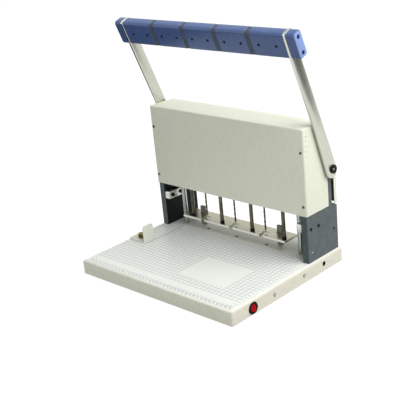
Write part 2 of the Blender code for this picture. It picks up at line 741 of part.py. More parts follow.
def sector_outline():
    """Toothed arc that faces the rack, closed round the hub."""
    tip = MESH_RADIUS + ADDENDUM_SHARE * GEAR_MODULE
    root = MESH_RADIUS - DEDENDUM_SHARE * GEAR_MODULE
    base = max(root, MESH_RADIUS * math.cos(PRESSURE_ANGLE))
    pitch = math.pi * GEAR_MODULE / MESH_RADIUS
    first = math.ceil(SECTOR_START / pitch - 0.5)
    last = math.floor(SECTOR_END / pitch - 0.5)
    flank = [base + (tip - base) * step / FLANK_STEPS for step in range(FLANK_STEPS + 1)]
    points = []
    for number in range(first, last + 1):
        middle = (number + 0.5) * pitch
        rising = [(radius, middle - tooth_half_angle(radius)) for radius in flank]
        falling = [(radius, middle + tooth_half_angle(radius)) for radius in reversed(flank)]
        points += [(root, rising[0][1])] + rising + falling + [(root, falling[-1][1])]
    outline = [(-radius * math.cos(turn), radius * math.sin(turn)) for radius, turn in points]
    start = math.pi - points[-1][1]
    end = math.pi - points[0][1] - 2 * math.pi
    return outline + arc((0, 0), SECTOR_HUB_RADIUS, start, end, SIDES_SMALL)


def sector_gear(side, name, lever):
    near = side * SECTOR_X
    far = side * (SECTOR_X + SECTOR_THICKNESS)
    start, end = sorted((near, far))
    gear = prism(f"sector_gear_{name}", sector_outline(), "X", start, end, "dark_steel", parent=lever)
    gear.rotation_euler = (-LEVER_LEAN, 0, 0)
    bored = bore(gear, "X", SHAFT_RADIUS + GAP, (0, 0), start - OVERRUN, end + OVERRUN, SIDES_ROUND)
    return bored


def rack_outline():
    """Rack with its teeth to the back, in step with the sector gear at rest."""
    pitch = math.pi * GEAR_MODULE
    line = PIVOT_Y - MESH_RADIUS
    tip = line + ADDENDUM_SHARE * GEAR_MODULE
    root = line - DEDENDUM_SHARE * GEAR_MODULE
    half = pitch / 4 - BACKLASH / 2
    slope = math.tan(PRESSURE_ANGLE)
    at_tip = half - (tip - line) * slope
    at_root = half + (line - root) * slope
    outline = []
    for number in range(-RACK_TEETH_BELOW, RACK_TEETH_ABOVE + 1):
        middle = PIVOT_Z + number * pitch
        outline += [(root, middle - at_root), (tip, middle - at_tip), (tip, middle + at_tip),
                    (root, middle + at_root)]
    top = outline[-1][1] + pitch / 4
    back = root - RACK_BACKING
    foot = head_top_z() + GAP
    return outline + [(root, top), (back, top), (back, foot), (root, foot)]


def rack(side, name, carrier):
    start, end = sorted((side * RACK_X, side * (RACK_X + RACK_WIDTH)))
    return prism(f"rack_{name}", rack_outline(), "X", start, end, "satin_steel", parent=carrier)


def pulley_bottom_z():
    return head_top_z() + SPINDLE_COLLAR_HEIGHT + GAP


def pulley_profile(bottom):
    """Outside of a flat belt pulley, from its bottom face to its top face."""
    top = bottom + PULLEY_HEIGHT
    return [(PULLEY_RADIUS - PULLEY_LIP, bottom), (PULLEY_RADIUS, bottom + PULLEY_LIP),
            (PULLEY_RADIUS, top - PULLEY_LIP), (PULLEY_RADIUS - PULLEY_LIP, top)]


def spindle(number, x, carrier):
    """Pulley, shaft and chuck in one, with a bore for the bit."""
    chuck_top = HEAD_BOTTOM_Z - GAP
    nose = chuck_top - CHUCK_HEIGHT
    pulley_top = pulley_bottom_z() + PULLEY_HEIGHT
    hole = DRILL_DIAMETER / 2 + GAP
    profile = [(0, nose + CHUCK_BORE_DEPTH), (hole, nose + CHUCK_BORE_DEPTH), (hole, nose),
               (CHUCK_NOSE_RADIUS, nose), (CHUCK_RADIUS, nose + CHUCK_NOSE_HEIGHT),
               (CHUCK_RADIUS, chuck_top), (SPINDLE_RADIUS, chuck_top),
               (SPINDLE_RADIUS, head_top_z() + GAP), (SPINDLE_COLLAR_RADIUS, head_top_z() + GAP),
               (SPINDLE_COLLAR_RADIUS, pulley_bottom_z())]
    profile += pulley_profile(pulley_bottom_z())
    profile += [(PULLEY_TOP_RADIUS, pulley_top), (PULLEY_TOP_RADIUS, pulley_top + SPINDLE_COLLAR_HEIGHT),
                (0, pulley_top + SPINDLE_COLLAR_HEIGHT)]
    axis = pivot_empty(f"spindle_axis_{number}", (x, DRILL_Y, 0), parent=carrier)
    turned(f"spindle_{number}", profile, "Z", SIDES_SMALL, "dark_steel", parent=axis)
    drill_bit(number, axis, nose)


def bit_section(turn):
    """Cross-section of a two-flute twist drill, turned by an angle."""
    radius = DRILL_DIAMETER / 2
    section = []
    for step in range(BIT_SIDES):
        angle = 2 * math.pi * step / BIT_SIDES
        flute = max(0, math.cos(2 * angle)) ** 2
        reach = radius * (1 - BIT_FLUTE_DEPTH_SHARE * flute)
        section.append((reach * math.cos(angle + turn), reach * math.sin(angle + turn)))
    return section


def round_section():
    radius = DRILL_DIAMETER / 2
    return [(radius * math.cos(2 * math.pi * step / BIT_SIDES), radius * math.sin(2 * math.pi * step / BIT_SIDES))
            for step in range(BIT_SIDES)]


def drill_bit(number, axis, nose):
    """Twist drill: point, two helical flutes and a plain shank in the chuck."""
    tip = TABLE_TOP + TIP_CLEARANCE
    point = BIT_POINT_SHARE * DRILL_DIAMETER
    steps = round(BIT_FLUTE_LENGTH / BIT_LEAD * BIT_STEPS_PER_TURN)
    rings = []
    for step in range(steps + 1):
        height = tip + point + (BIT_FLUTE_LENGTH - point) * step / steps
        turn = 2 * math.pi * (height - tip) / BIT_LEAD
        rings.append([(x, y, height) for x, y in bit_section(turn)])
    runout = tip + BIT_FLUTE_LENGTH + BIT_RUNOUT
    shank_top = nose + CHUCK_BORE_DEPTH - GAP
    for height in (runout, shank_top):
        rings.append([(x, y, height) for x, y in round_section()])
    bm = bmesh.new()
    loops = [[bm.verts.new(corner) for corner in ring] for ring in rings]
    for low, high in zip(loops, loops[1:]):
        for step in range(BIT_SIDES):
            following = (step + 1) % BIT_SIDES
            bm.faces.new((low[step], low[following], high[following], high[step]))
    apex = bm.verts.new((0, 0, tip))
    for step in range(BIT_SIDES):
        bm.faces.new((apex, loops[0][(step + 1) % BIT_SIDES], loops[0][step]))
    bm.faces.new(loops[-1])
    return solid(f"drill_bit_{number}", bm, "dark_steel", parent=axis)


def motor_base_z():
    return head_top_z() + MOTOR_LIFT


def motor(carrier):
    """Upright motor on two posts, its shaft pointing down to the belt."""
    low = motor_base_z()
    high = low + MOTOR_HEIGHT
    edge = MOTOR_EDGE
    profile = [(0, low), (MOTOR_RADIUS - edge, low), (MOTOR_RADIUS, low + edge), (MOTOR_RADIUS, high - edge),
               (MOTOR_RADIUS - edge, high), (MOTOR_BOSS_RADIUS, high),
               (MOTOR_BOSS_RADIUS, high + MOTOR_BOSS_HEIGHT), (0, high + MOTOR_BOSS_HEIGHT)]
    place = (MOTOR_X, DRILL_Y, 0)
    can = turned("drill_motor", profile, "Z", SIDES_ROUND, "dark_steel", place, carrier)
    for side in (-1, 1):
        post = turned("motor_post", rod_profile(MOTOR_POST_RADIUS, head_top_z() + GAP, low + OVERRUN), "Z",
                      SIDES_SMALL, location=(MOTOR_X + side * MOTOR_POST_OFFSET, DRILL_Y, 0))
        combine(can, post, "UNION")
    return bore(can, "Z", MOTOR_SHAFT_RADIUS + GAP, (MOTOR_X, DRILL_Y), low - OVERRUN,
                low + MOTOR_SHAFT_LENGTH, SIDES_SMALL)


def motor_pulley(carrier):
    bottom = pulley_bottom_z()
    shaft_top = motor_base_z() + MOTOR_SHAFT_LENGTH - GAP
    profile = [(0, bottom)] + pulley_profile(bottom)
    profile += [(MOTOR_SHAFT_RADIUS, bottom + PULLEY_HEIGHT), (MOTOR_SHAFT_RADIUS, shaft_top), (0, shaft_top)]
    axis = pivot_empty("motor_axis", (MOTOR_X, DRILL_Y, 0), parent=carrier)
    return turned("motor_pulley", profile, "Z", SIDES_ROUND, "aluminium", parent=axis)


def drive_belt(carrier):
    """Flat belt round the three spindle pulleys and the motor pulley."""
    left = drill_places()[0]
    reach = (MOTOR_X - left) / 2
    middle = (MOTOR_X + left) / 2
    outline = stadium((middle, DRILL_Y), reach, PULLEY_RADIUS + GAP, SIDES_SMALL)
    low = pulley_bottom_z() + BELT_INSET
    height = PULLEY_HEIGHT - 2 * BELT_INSET
    bm = bmesh.new()
    lower = [bm.verts.new((x, y, low)) for x, y in outline]
    edges = [bm.edges.new(pair) for pair in zip(lower, lower[1:] + lower[:1])]
    grown = bmesh.ops.extrude_edge_only(bm, edges=edges)
    raised = [item for item in grown["geom"] if isinstance(item, bmesh.types.BMVert)]
    bmesh.ops.translate(bm, verts=raised, vec=(0, 0, height))
    belt = solid("drive_belt", bm, "belt_rubber", parent=carrier)
    wall = belt.modifiers.new("wall", "SOLIDIFY")
    wall.thickness = BELT_THICKNESS
    wall.offset = 1
    return belt


# Pressure plate
def pressure_outline():
    """Plate with a slot from its front edge back to each bit, ending in a wider pocket."""
    rear = PRESS_FRONT_Y + PRESS_DEPTH
    pocket = DRILL_Y - SLOT_POCKET_DEPTH / 2
    end = DRILL_Y + SLOT_POCKET_DEPTH / 2
    outline = [(PRESS_LEFT_X, rear), (PRESS_LEFT_X, PRESS_FRONT_Y)]
    for x in drill_places():
        outline += [(x - SLOT_HALF_WIDTH, PRESS_FRONT_Y), (x - SLOT_HALF_WIDTH, pocket),
                    (x - SLOT_POCKET_HALF_WIDTH, pocket), (x - SLOT_POCKET_HALF_WIDTH, end),
                    (x + SLOT_POCKET_HALF_WIDTH, end), (x + SLOT_POCKET_HALF_WIDTH, pocket),
                    (x + SLOT_HALF_WIDTH, pocket), (x + SLOT_HALF_WIDTH, PRESS_FRONT_Y)]
    return outline + [(PRESS_RIGHT_X, PRESS_FRONT_Y), (PRESS_RIGHT_X, rear)]


def pressure_plate(carrier):
    low = PRESS_TOP_Z - PRESS_THICKNESS
    plate = prism("pressure_plate", pressure_outline(), "Z", low, PRESS_TOP_Z, "bright_steel", parent=carrier)
    soften(plate, PRESS_EDGE)
    for side in (-1, 1):
        half = REAR_STOP_WIDTH / 2 + PRESS_STOP_CLEARANCE
        front = REAR_STOP_Y - PRESS_STOP_CLEARANCE
        back = REAR_STOP_Y + REAR_STOP_THICKNESS + PRESS_STOP_CLEARANCE
        middle = rear_stop_x(side)
        window = [(middle - half, front), (middle + half, front), (middle + half, back), (middle - half, back)]
        cut(plate, prism("stop_window", window, "Z", low - OVERRUN, PRESS_TOP_Z + OVERRUN))
    return plate


def pressure_rods(carrier):
    """Rods that push the plate down, each with a wider foot."""
    bottom = PRESS_TOP_Z + GAP
    shoulder = bottom + ROD_FOOT_HEIGHT
    top = head_top_z() - ROD_HEAD_ROOM
    profile = [(0, bottom), (ROD_FOOT_RADIUS, bottom), (ROD_FOOT_RADIUS, shoulder - ROD_CHAMFER),
               (ROD_FOOT_RADIUS - ROD_CHAMFER, shoulder), (ROD_RADIUS, shoulder),
               (ROD_RADIUS, top - ROD_CHAMFER), (ROD_RADIUS - ROD_CHAMFER, top), (0, top)]
    for number, x in enumerate(rod_places(), 1):
        turned(f"pressure_rod_{number}", profile, "Z", SIDES_SMALL, "dark_steel", (x, ROD_Y, 0), carrier)


# Lever
def arm_outline():
    """Flat bar with a wider round end, whose middle lies a little forward of the pivot."""
    top = LEVER_LENGTH
    bottom = arc((-ARM_END_FORWARD, -ARM_END_DROP), ARM_END_RADIUS, math.pi, 2 * math.pi, SIDES_SMALL)
    rear = arc((ARM_HALF_WIDTH - ARM_TOP_CORNER, top - ARM_TOP_CORNER), ARM_TOP_CORNER, 0,
               math.pi / 2, ARC_STEPS)
    front = arc((ARM_TOP_CORNER - ARM_HALF_WIDTH, top - ARM_TOP_CORNER), ARM_TOP_CORNER,
                math.pi / 2, math.pi, ARC_STEPS)
    return bottom + rear + front + [(-ARM_HALF_WIDTH, ARM_SHOULDER)]


def arm(side, name, lever):
    start, end = sorted((side * ARM_INNER_X, side * (ARM_INNER_X + ARM_THICKNESS)))
    bar = prism(f"lever_arm_{name}", arm_outline(), "X", start, end, "satin_steel", parent=lever)
    soften(bar, ARM_EDGE, 2)
    return bore(bar, "X", BOLT_RADIUS + GAP, (0, 0), start - OVERRUN, end + OVERRUN)


def cross_shaft(lever):
    """Shaft through both side plates, with a threaded hole in each end."""
    end = ARM_INNER_X - GAP
    shaft = turned("cross_shaft", rod_profile(SHAFT_RADIUS, -end, end, COLUMN_CHAMFER), "X", SIDES_SMALL,
                   "bright_steel", parent=lever)
    depth = bolt_end_x() - GAP
    for side in (-1, 1):
        low, high = sorted((side * depth, side * (end + OVERRUN)))
        bore(shaft, "X", BOLT_RADIUS + GAP, (0, 0), low, high)
    return shaft


def bolt_end_x():
    return ARM_INNER_X + ARM_THICKNESS + GAP - BOLT_LENGTH


def pivot_bolt(side, name, lever):
    """Bolt that clamps an arm to the end of the cross shaft."""
    seat = ARM_INNER_X + ARM_THICKNESS + GAP
    head = seat + BOLT_HEAD_HEIGHT
    profile = [(0, bolt_end_x()), (BOLT_RADIUS, bolt_end_x()), (BOLT_RADIUS, seat), (BOLT_HEAD_RADIUS, seat),
               (BOLT_HEAD_RADIUS, head - BOLT_CHAMFER), (BOLT_HEAD_RADIUS - BOLT_CHAMFER, head),
               (BOLT_SOCKET_RADIUS, head), (BOLT_SOCKET_RADIUS, head - BOLT_SOCKET_DEPTH),
               (0, head - BOLT_SOCKET_DEPTH)]
    sided = [(radius, side * place) for radius, place in profile]
    return turned(f"pivot_bolt_{name}", sided, "X", SIDES_ROUND, "dark_steel", parent=lever)


def grip_outline(recess=0):
    """Rounded section of the grip about its own middle, on the line of the arms."""
    half_y = GRIP_DEPTH / 2 - recess
    low = LEVER_LENGTH - GRIP_TOP_ROOM - GRIP_HEIGHT + recess
    high = LEVER_LENGTH - GRIP_TOP_ROOM - recess
    return rounded_rectangle(-half_y, half_y, low, high, [GRIP_CORNER - recess] * 4)


def grip_core_outline(clearance=0):
    middle = grip_middle()
    half_y = GRIP_BAR_DEPTH / 2 + clearance
    half_z = GRIP_BAR_HEIGHT / 2 + clearance
    return [(-half_y, middle - half_z), (half_y, middle - half_z), (half_y, middle + half_z),
            (-half_y, middle + half_z)]


def grip_slot(piece, start, end):
    tool = prism(f"{piece.name}_slot", grip_core_outline(GAP), "X", start - OVERRUN, end + OVERRUN)
    return cut(piece, tool)


def grip_middle():
    """Height of the grip's middle along the arms."""
    return LEVER_LENGTH - GRIP_TOP_ROOM - GRIP_HEIGHT / 2


def block_wells(block, middle):
    """Two screw wells in the front face of a grip block."""
    face = -GRIP_DEPTH / 2
    for side in (-1, 1):
        place = (middle + side * GRIP_BLOCK_WELLS / 2, grip_middle())
        bore(block, "Y", GRIP_WELL_RADIUS, place, face - OVERRUN, face + GRIP_WELL_DEPTH, SIDES_FINE)


def grip(lever):
    """Flat steel core between the arms, with plastic blocks and spacers threaded on it."""
    limit = ARM_INNER_X - GAP
    prism("grip_core", grip_core_outline(), "X", -limit, limit, "satin_steel", parent=lever)
    half = GRIP_BLOCKS * GRIP_BLOCK_PITCH / 2
    for number in range(GRIP_BLOCKS):
        left = -half + number * GRIP_BLOCK_PITCH
        right = left + GRIP_BLOCK_PITCH
        start = max(-limit, left + GRIP_SPACER_WIDTH / 2 + GAP) if number else -limit
        end = right - GRIP_SPACER_WIDTH / 2 - GAP if number < GRIP_BLOCKS - 1 else limit
        block = prism(f"grip_block_{number + 1}", grip_outline(), "X", start, end, "blue_plastic", parent=lever)
        soften(block, GRIP_EDGE)
        grip_slot(block, start, end)
        block_wells(block, (left + right) / 2)
        if number:
            start = left - GRIP_SPACER_WIDTH / 2
            end = left + GRIP_SPACER_WIDTH / 2
            spacer = prism(f"grip_spacer_{number}", grip_outline(GRIP_SPACER_RECESS), "X", start, end,
                           "grey_plastic", parent=lever)
            grip_slot(spacer, start, end)


def grip_cap(side, name, lever):
    """End cap outside an arm, with a rounded outer face."""
    inner = ARM_INNER_X + ARM_THICKNESS + GAP
    outer = ARM_INNER_X + ARM_THICKNESS + GRIP_CAP_WIDTH
    bm = bmesh.new()
    rims = [(inner, 0), (outer - GRIP_CAP_EDGE, 0)]
    for step in range(1, FOLD_STEPS + 1):
        turn = math.pi / 2 * step / FOLD_STEPS
        rims.append((outer - GRIP_CAP_EDGE * (1 - math.sin(turn)), GRIP_CAP_EDGE * (1 - math.cos(turn))))
    loops = []
    for place, recess in rims:
        loops.append([bm.verts.new((side * place, y, z)) for y, z in grip_outline(recess)])
    for low, high in zip(loops, loops[1:]):
        for step in range(len(low)):
            following = (step + 1) % len(low)
            bm.faces.new((low[step], low[following], high[following], high[step]))
    bm.faces.new(loops[0])
    bm.faces.new(loops[-1])
    cap = solid(f"grip_cap_{name}", bm, "blue_plastic", parent=lever)
    low, high = sorted((side * (outer - GRIP_WELL_DEPTH), side * (outer + OVERRUN)))
    for end in (-1, 1):
        bore(cap, "X", GRIP_CAP_WELL_RADIUS, (0, grip_middle() + end * GRIP_CAP_WELLS / 2), low, high, SIDES_FINE)
    return cap


# Side stop
def mat_top_z():
    return TABLE_TOP + GAP + MAT_THICKNESS


def side_stop(slide):
    """Slotted foot with an upright cheek that the paper's side edge meets."""
    low = mat_top_z() + GAP
    high = low + STOP_SHEET
    half = STOP_WIDTH / 2
    foot_outline = rounded_rectangle(STOP_TIP_X, STOP_FACE_X, STOP_Y - half, STOP_Y + half,
                                     [STOP_FOOT_CORNER, 0, 0, STOP_FOOT_CORNER])
    foot = prism("side_stop", foot_outline, "Z", low, high, "stop_plastic", parent=slide)
    cheek_outline = rounded_rectangle(STOP_Y - half, STOP_Y + half, low, STOP_TOP_Z,
                                      [0, 0, STOP_CORNER, STOP_CORNER])
    cheek = prism("side_stop_cheek", cheek_outline, "X", STOP_FACE_X - STOP_SHEET, STOP_FACE_X)
    combine(foot, cheek, "UNION")
    slot = stadium((STOP_SCREW_X, STOP_Y), STOP_TRAVEL, SCREW_SHANK_RADIUS + GAP)
    return cut(foot, prism("side_stop_slot", slot, "Z", low - OVERRUN, high + OVERRUN))


def knurled_outline():
    outline = []
    for step in range(2 * SCREW_KNURLS):
        radius = SCREW_HEAD_RADIUS - (SCREW_KNURL_DEPTH if step % 2 else 0)
        angle = math.pi * step / SCREW_KNURLS
        outline.append((radius * math.cos(angle), radius * math.sin(angle)))
    return outline


def stop_screw():
    """Knurled clamping screw through the side stop's slot into the table."""
    axis = pivot_empty("stop_screw_axis", (STOP_SCREW_X, STOP_Y, 0))
    seat = mat_top_z() + STOP_SHEET + 2 * GAP
    collar = seat + SCREW_COLLAR_HEIGHT
    top = seat + SCREW_HEAD_HEIGHT
    profile = [(0, seat - SCREW_SHANK_LENGTH), (SCREW_SHANK_RADIUS, seat - SCREW_SHANK_LENGTH),
               (SCREW_SHANK_RADIUS, seat), (SCREW_COLLAR_RADIUS, seat),
               (SCREW_COLLAR_RADIUS, collar + OVERRUN), (0, collar + OVERRUN)]
    screw = turned("stop_screw", profile, "Z", SIDES_SMALL, "brass", parent=axis)
    return combine(screw, prism("screw_head", knurled_outline(), "Z", collar, top, parent=axis), "UNION")


# Switch and inlet
def switch_bezel():
    wall = BASE_WIDTH / 2
    seat = wall + GAP
    face = seat + BEZEL_PROJECTION
    end = wall - BEZEL_BARREL_LENGTH
    profile = [(0, end), (BEZEL_BARREL_RADIUS, end), (BEZEL_BARREL_RADIUS, seat), (BEZEL_RADIUS, seat),
               (BEZEL_RADIUS, face - BEZEL_CHAMFER), (BEZEL_RADIUS - BEZEL_CHAMFER, face),
               (BEZEL_BORE_RADIUS, face), (BEZEL_BORE_RADIUS, end + BEZEL_FLOOR), (0, end + BEZEL_FLOOR)]
    return turned("switch_bezel", profile, "X", SIDES_ROUND, "black_plastic", (0, SWITCH_Y, SWITCH_Z))


def rocker_x():
    return BASE_WIDTH / 2 + GAP + BEZEL_PROJECTION - ROCKER_SINK


def switch_rocker():
    """Round rocker with a dished face, resting tilted to its off side."""
    axis = pivot_empty("rocker_axis", (rocker_x(), SWITCH_Y, SWITCH_Z))
    half = ROCKER_DEPTH / 2
    outline = [(-half, -ROCKER_RADIUS), (half, -ROCKER_RADIUS), (half - ROCKER_DISH, 0), (half, ROCKER_RADIUS),
               (-half, ROCKER_RADIUS)]
    block = prism("switch_rocker", outline, "Y", -ROCKER_RADIUS - OVERRUN, ROCKER_RADIUS + OVERRUN,
                  "red_plastic", parent=axis)
    round_tool = turned("rocker_round", rod_profile(ROCKER_RADIUS, -half - OVERRUN, half + OVERRUN), "X",
                        SIDES_ROUND, parent=axis)
    combine(block, round_tool, "INTERSECT")
    axis.rotation_euler = (0, -ROCKER_TILT, 0)
    return block


def power_inlet():
    """Appliance inlet flush in the back wall, with three blades in its cavity."""
    face = BASE_DEPTH / 2
    outline = rounded_rectangle(INLET_X - INLET_WIDTH / 2, INLET_X + INLET_WIDTH / 2,
                                INLET_Z - INLET_HEIGHT / 2, INLET_Z + INLET_HEIGHT / 2, [INLET_CORNER] * 4)
    inlet = prism("power_inlet", outline, "Y", face - INLET_DEPTH, face, "black_plastic")
    left = INLET_X - INLET_WIDTH / 2 + INLET_WALL
    right = INLET_X + INLET_WIDTH / 2 - INLET_WALL
    low = INLET_Z - INLET_HEIGHT / 2 + INLET_WALL
    high = INLET_Z + INLET_HEIGHT / 2 - INLET_WALL
    cavity = [(left, low), (right, low), (right, high - INLET_CAVITY_CUT), (right - INLET_CAVITY_CUT, high),
              (left + INLET_CAVITY_CUT, high), (left, high - INLET_CAVITY_CUT)]
    cut(inlet, prism("inlet_cavity", cavity, "Y", face - INLET_CAVITY_DEPTH, face + OVERRUN))
    floor = face - INLET_CAVITY_DEPTH
    for step in (-1, 0, 1):
        x = INLET_X + step * PIN_SPACING
        z = INLET_Z + (0 if step else PIN_RISE)
        blade = [(x - PIN_WIDTH / 2, z - PIN_HEIGHT / 2), (x + PIN_WIDTH / 2, z - PIN_HEIGHT / 2),
                 (x + PIN_WIDTH / 2, z + PIN_HEIGHT / 2), (x - PIN_WIDTH / 2, z + PIN_HEIGHT / 2)]
        combine(inlet, prism("inlet_blade", blade, "Y", floor - OVERRUN, floor + PIN_LENGTH), "UNION")
    return inlet


# Assembly
def build():
    clear_scene()
    base_tray()
    base_plate()
    rubber_feet()
    ruled_mat()
    drill_pad_bar()
    front_cover()
    rear_cover()
    crown_beam()
    carrier = pivot_empty("drill_head_slide", (0, 0, 0))
    press = pivot_empty("pressure_slide", (0, 0, 0), parent=carrier)
    lever = pivot_empty("lever_axis", (0, PIVOT_Y, PIVOT_Z), LEVER_LEAN)
    for side, name in ((-1, "left"), (1, "right")):
        side_plate(side, name)
        guide_column(side, name)
        stop_block(side, name)
        rear_stop(side, name)
        rack(side, name, carrier)
        sector_gear(side, name, lever)
        arm(side, name, lever)
        pivot_bolt(side, name, lever)
        grip_cap(side, name, lever)
    drill_head(carrier)
    for number, x in enumerate(drill_places(), 1):
        spindle(number, x, carrier)
    motor(carrier)
    motor_pulley(carrier)
    drive_belt(carrier)
    pressure_plate(press)
    pressure_rods(press)
    cross_shaft(lever)
    grip(lever)
    side_stop(pivot_empty("side_stop_slide", (0, 0, 0)))
    stop_screw()
    switch_bezel()
    switch_rocker()
    power_inlet()


build()
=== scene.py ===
"""Looks of a drill binding machine: finishes, fasteners, print and finely turned pieces.

Lengths are metres, X to the right, Y to the back and Z up from the resting surface. Every piece
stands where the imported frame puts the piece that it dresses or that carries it.
"""

import logging
import math
from collections.abc import Callable, Sequence
from dataclasses import dataclass, replace
from enum import Enum
from functools import reduce

import bmesh
import bpy
from mathutils import Matrix, Vector


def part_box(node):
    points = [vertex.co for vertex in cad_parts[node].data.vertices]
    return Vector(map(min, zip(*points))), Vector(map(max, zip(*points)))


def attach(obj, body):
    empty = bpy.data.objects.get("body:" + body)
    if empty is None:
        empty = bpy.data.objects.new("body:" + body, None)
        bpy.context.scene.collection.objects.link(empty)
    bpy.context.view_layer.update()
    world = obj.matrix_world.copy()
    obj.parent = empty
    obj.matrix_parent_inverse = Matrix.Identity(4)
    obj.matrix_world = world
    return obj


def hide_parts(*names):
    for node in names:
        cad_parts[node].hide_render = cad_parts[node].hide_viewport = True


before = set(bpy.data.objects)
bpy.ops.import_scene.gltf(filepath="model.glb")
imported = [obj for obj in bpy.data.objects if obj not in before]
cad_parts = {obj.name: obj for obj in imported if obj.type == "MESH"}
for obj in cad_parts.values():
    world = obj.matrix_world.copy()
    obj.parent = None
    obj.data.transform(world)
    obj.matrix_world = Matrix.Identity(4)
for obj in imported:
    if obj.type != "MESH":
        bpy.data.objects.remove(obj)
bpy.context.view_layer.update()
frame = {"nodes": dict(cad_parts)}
LOG = logging.getLogger("drill_binding_machine")

Colour = tuple[float, float, float]
Point = tuple[float, float, float]
Pair = tuple[float, float]
Area = tuple[Point, Point]
Profile = Sequence[tuple]
Socket = bpy.types.NodeSocket
Sockets = dict[str, bpy.types.NodeSocket]
Mesh = bmesh.types.BMesh

X_AXIS, Y_AXIS, Z_AXIS = (1.0, 0.0, 0.0), (0.0, 1.0, 0.0), (0.0, 0.0, 1.0)
ORIGIN = (0.0, 0.0, 0.0)
SIDES = (("left", -1), ("right", 1))
CORNERS = ((-0.5, -0.5), (0.5, -0.5), (0.5, 0.5), (-0.5, 0.5))


# --------------------------------------------------------------------------- shader effects
class Effect(Enum):
    """Node groups that several finishes share."""

    EDGE_WEAR = "edge wear"
    ORANGE_PEEL = "orange peel"
    BRUSHED = "brushed lines"
    MOTTLE = "mottled colour"
    SMEAR = "smeared gloss"
    DUST = "settled dust"
    INSIDE = "painted shade on inward faces"
    TURNED_AWAY = "faces along an axis"
    RULED = "ruled lines"


class Graph:
    """Adds linked nodes to the tree of a material or of a node group."""

    def __init__(self, tree: bpy.types.NodeTree) -> None:
        """Keep the tree that the nodes go into."""
        self.tree = tree

    def feed(self, socket: Socket, value: object) -> None:
        """Link an input, or set it.

        Args:
            socket: The input.
            value: The socket that it is linked from, or a plain value.
        """
        if isinstance(value, Socket):
            self.tree.links.new(value, socket)
        else:
            socket.default_value = value

    def add(self, kind: str, inputs: dict | None = None, **settings: object) -> bpy.types.Node:
        """Add one node.

        Args:
            kind: The node's type without its ShaderNode prefix.
            inputs: Values or sockets for its inputs, by name or number.
            **settings: Properties of the node itself.

        Returns:
            The new node.
        """
        node = self.tree.nodes.new(f"ShaderNode{kind}")
        for name, value in settings.items():
            setattr(node, name, value)
        for name, value in (inputs or {}).items():
            self.feed(node.inputs[name], value)
        return node

    def effect(self, effect: Effect, **given: object) -> Sockets:
        """Return the outputs of an effect that is given its inputs by name, with _ for a space."""
        inputs = {name.replace("_", " "): value for name, value in given.items()}
        return self.add("Group", inputs, node_tree=effect_group(effect)).outputs

    def maths(self, operation: str, *values: object) -> Socket:
        """Return the output of a Math node with these values or sockets."""
        return self.add("Math", dict(enumerate(values)), operation=operation).outputs[0]

    def product(self, *values: object) -> Socket:
        """Return the product of these values or sockets."""
        return reduce(lambda whole, value: self.maths("MULTIPLY", whole, value), values)

    def vectors(self, operation: str, first: object, second: object) -> Sockets:
        """Return the outputs of a Vector Math node with two vectors."""
        return self.add("VectorMath", {0: first, 1: second}, operation=operation).outputs

    def dot(self, first: object, second: object) -> Socket:
        """Return how far two directions agree."""
        return self.vectors("DOT_PRODUCT", first, second)["Value"]

    def scaled(self, colour: object, factor: Socket) -> Socket:
        """Return a colour made lighter or darker by a factor."""
        return self.add("VectorMath", {0: colour, "Scale": factor}, operation="SCALE").outputs["Vector"]

    def split(self, vector: Socket) -> Sockets:
        """Return a vector's X, Y and Z."""
        return self.add("SeparateXYZ", {0: vector}).outputs

    def spread(self, value: object, reach: Pair, to: Sequence = (0, 1)) -> Socket:
        """Return a value stretched from one range to another and held inside it."""
        inputs = {"Value": value, "From Min": reach[0], "From Max": reach[1], "To Min": to[0], "To Max": to[1]}
        return self.add("MapRange", inputs).outputs["Result"]

    def coordinates(self) -> Socket:
        """Return the coordinates that stay with the piece as its body moves."""
        return self.add("TexCoord").outputs["Object"]

    def normal(self) -> Socket:
        """Return the surface's direction in the piece's own axes."""
        return self.add("TexCoord").outputs["Normal"]

    def noise(self, scale: object, detail: float = 3.0, vector: Socket | None = None) -> Socket:
        """Return a noise value over the surface, or over a vector of its own."""
        place = self.coordinates() if vector is None else vector
        return self.add("TexNoise", {"Vector": place, "Scale": scale, "Detail": detail}).outputs["Fac"]

    def lay(self, mask: Socket, under: Socket, over: Colour) -> Socket:
        """Return a colour with a plain one laid over it where the mask is."""
        return self.add("Mix", {0: mask, 6: under, 7: (*over, 1.0)}, data_type="RGBA").outputs[2]


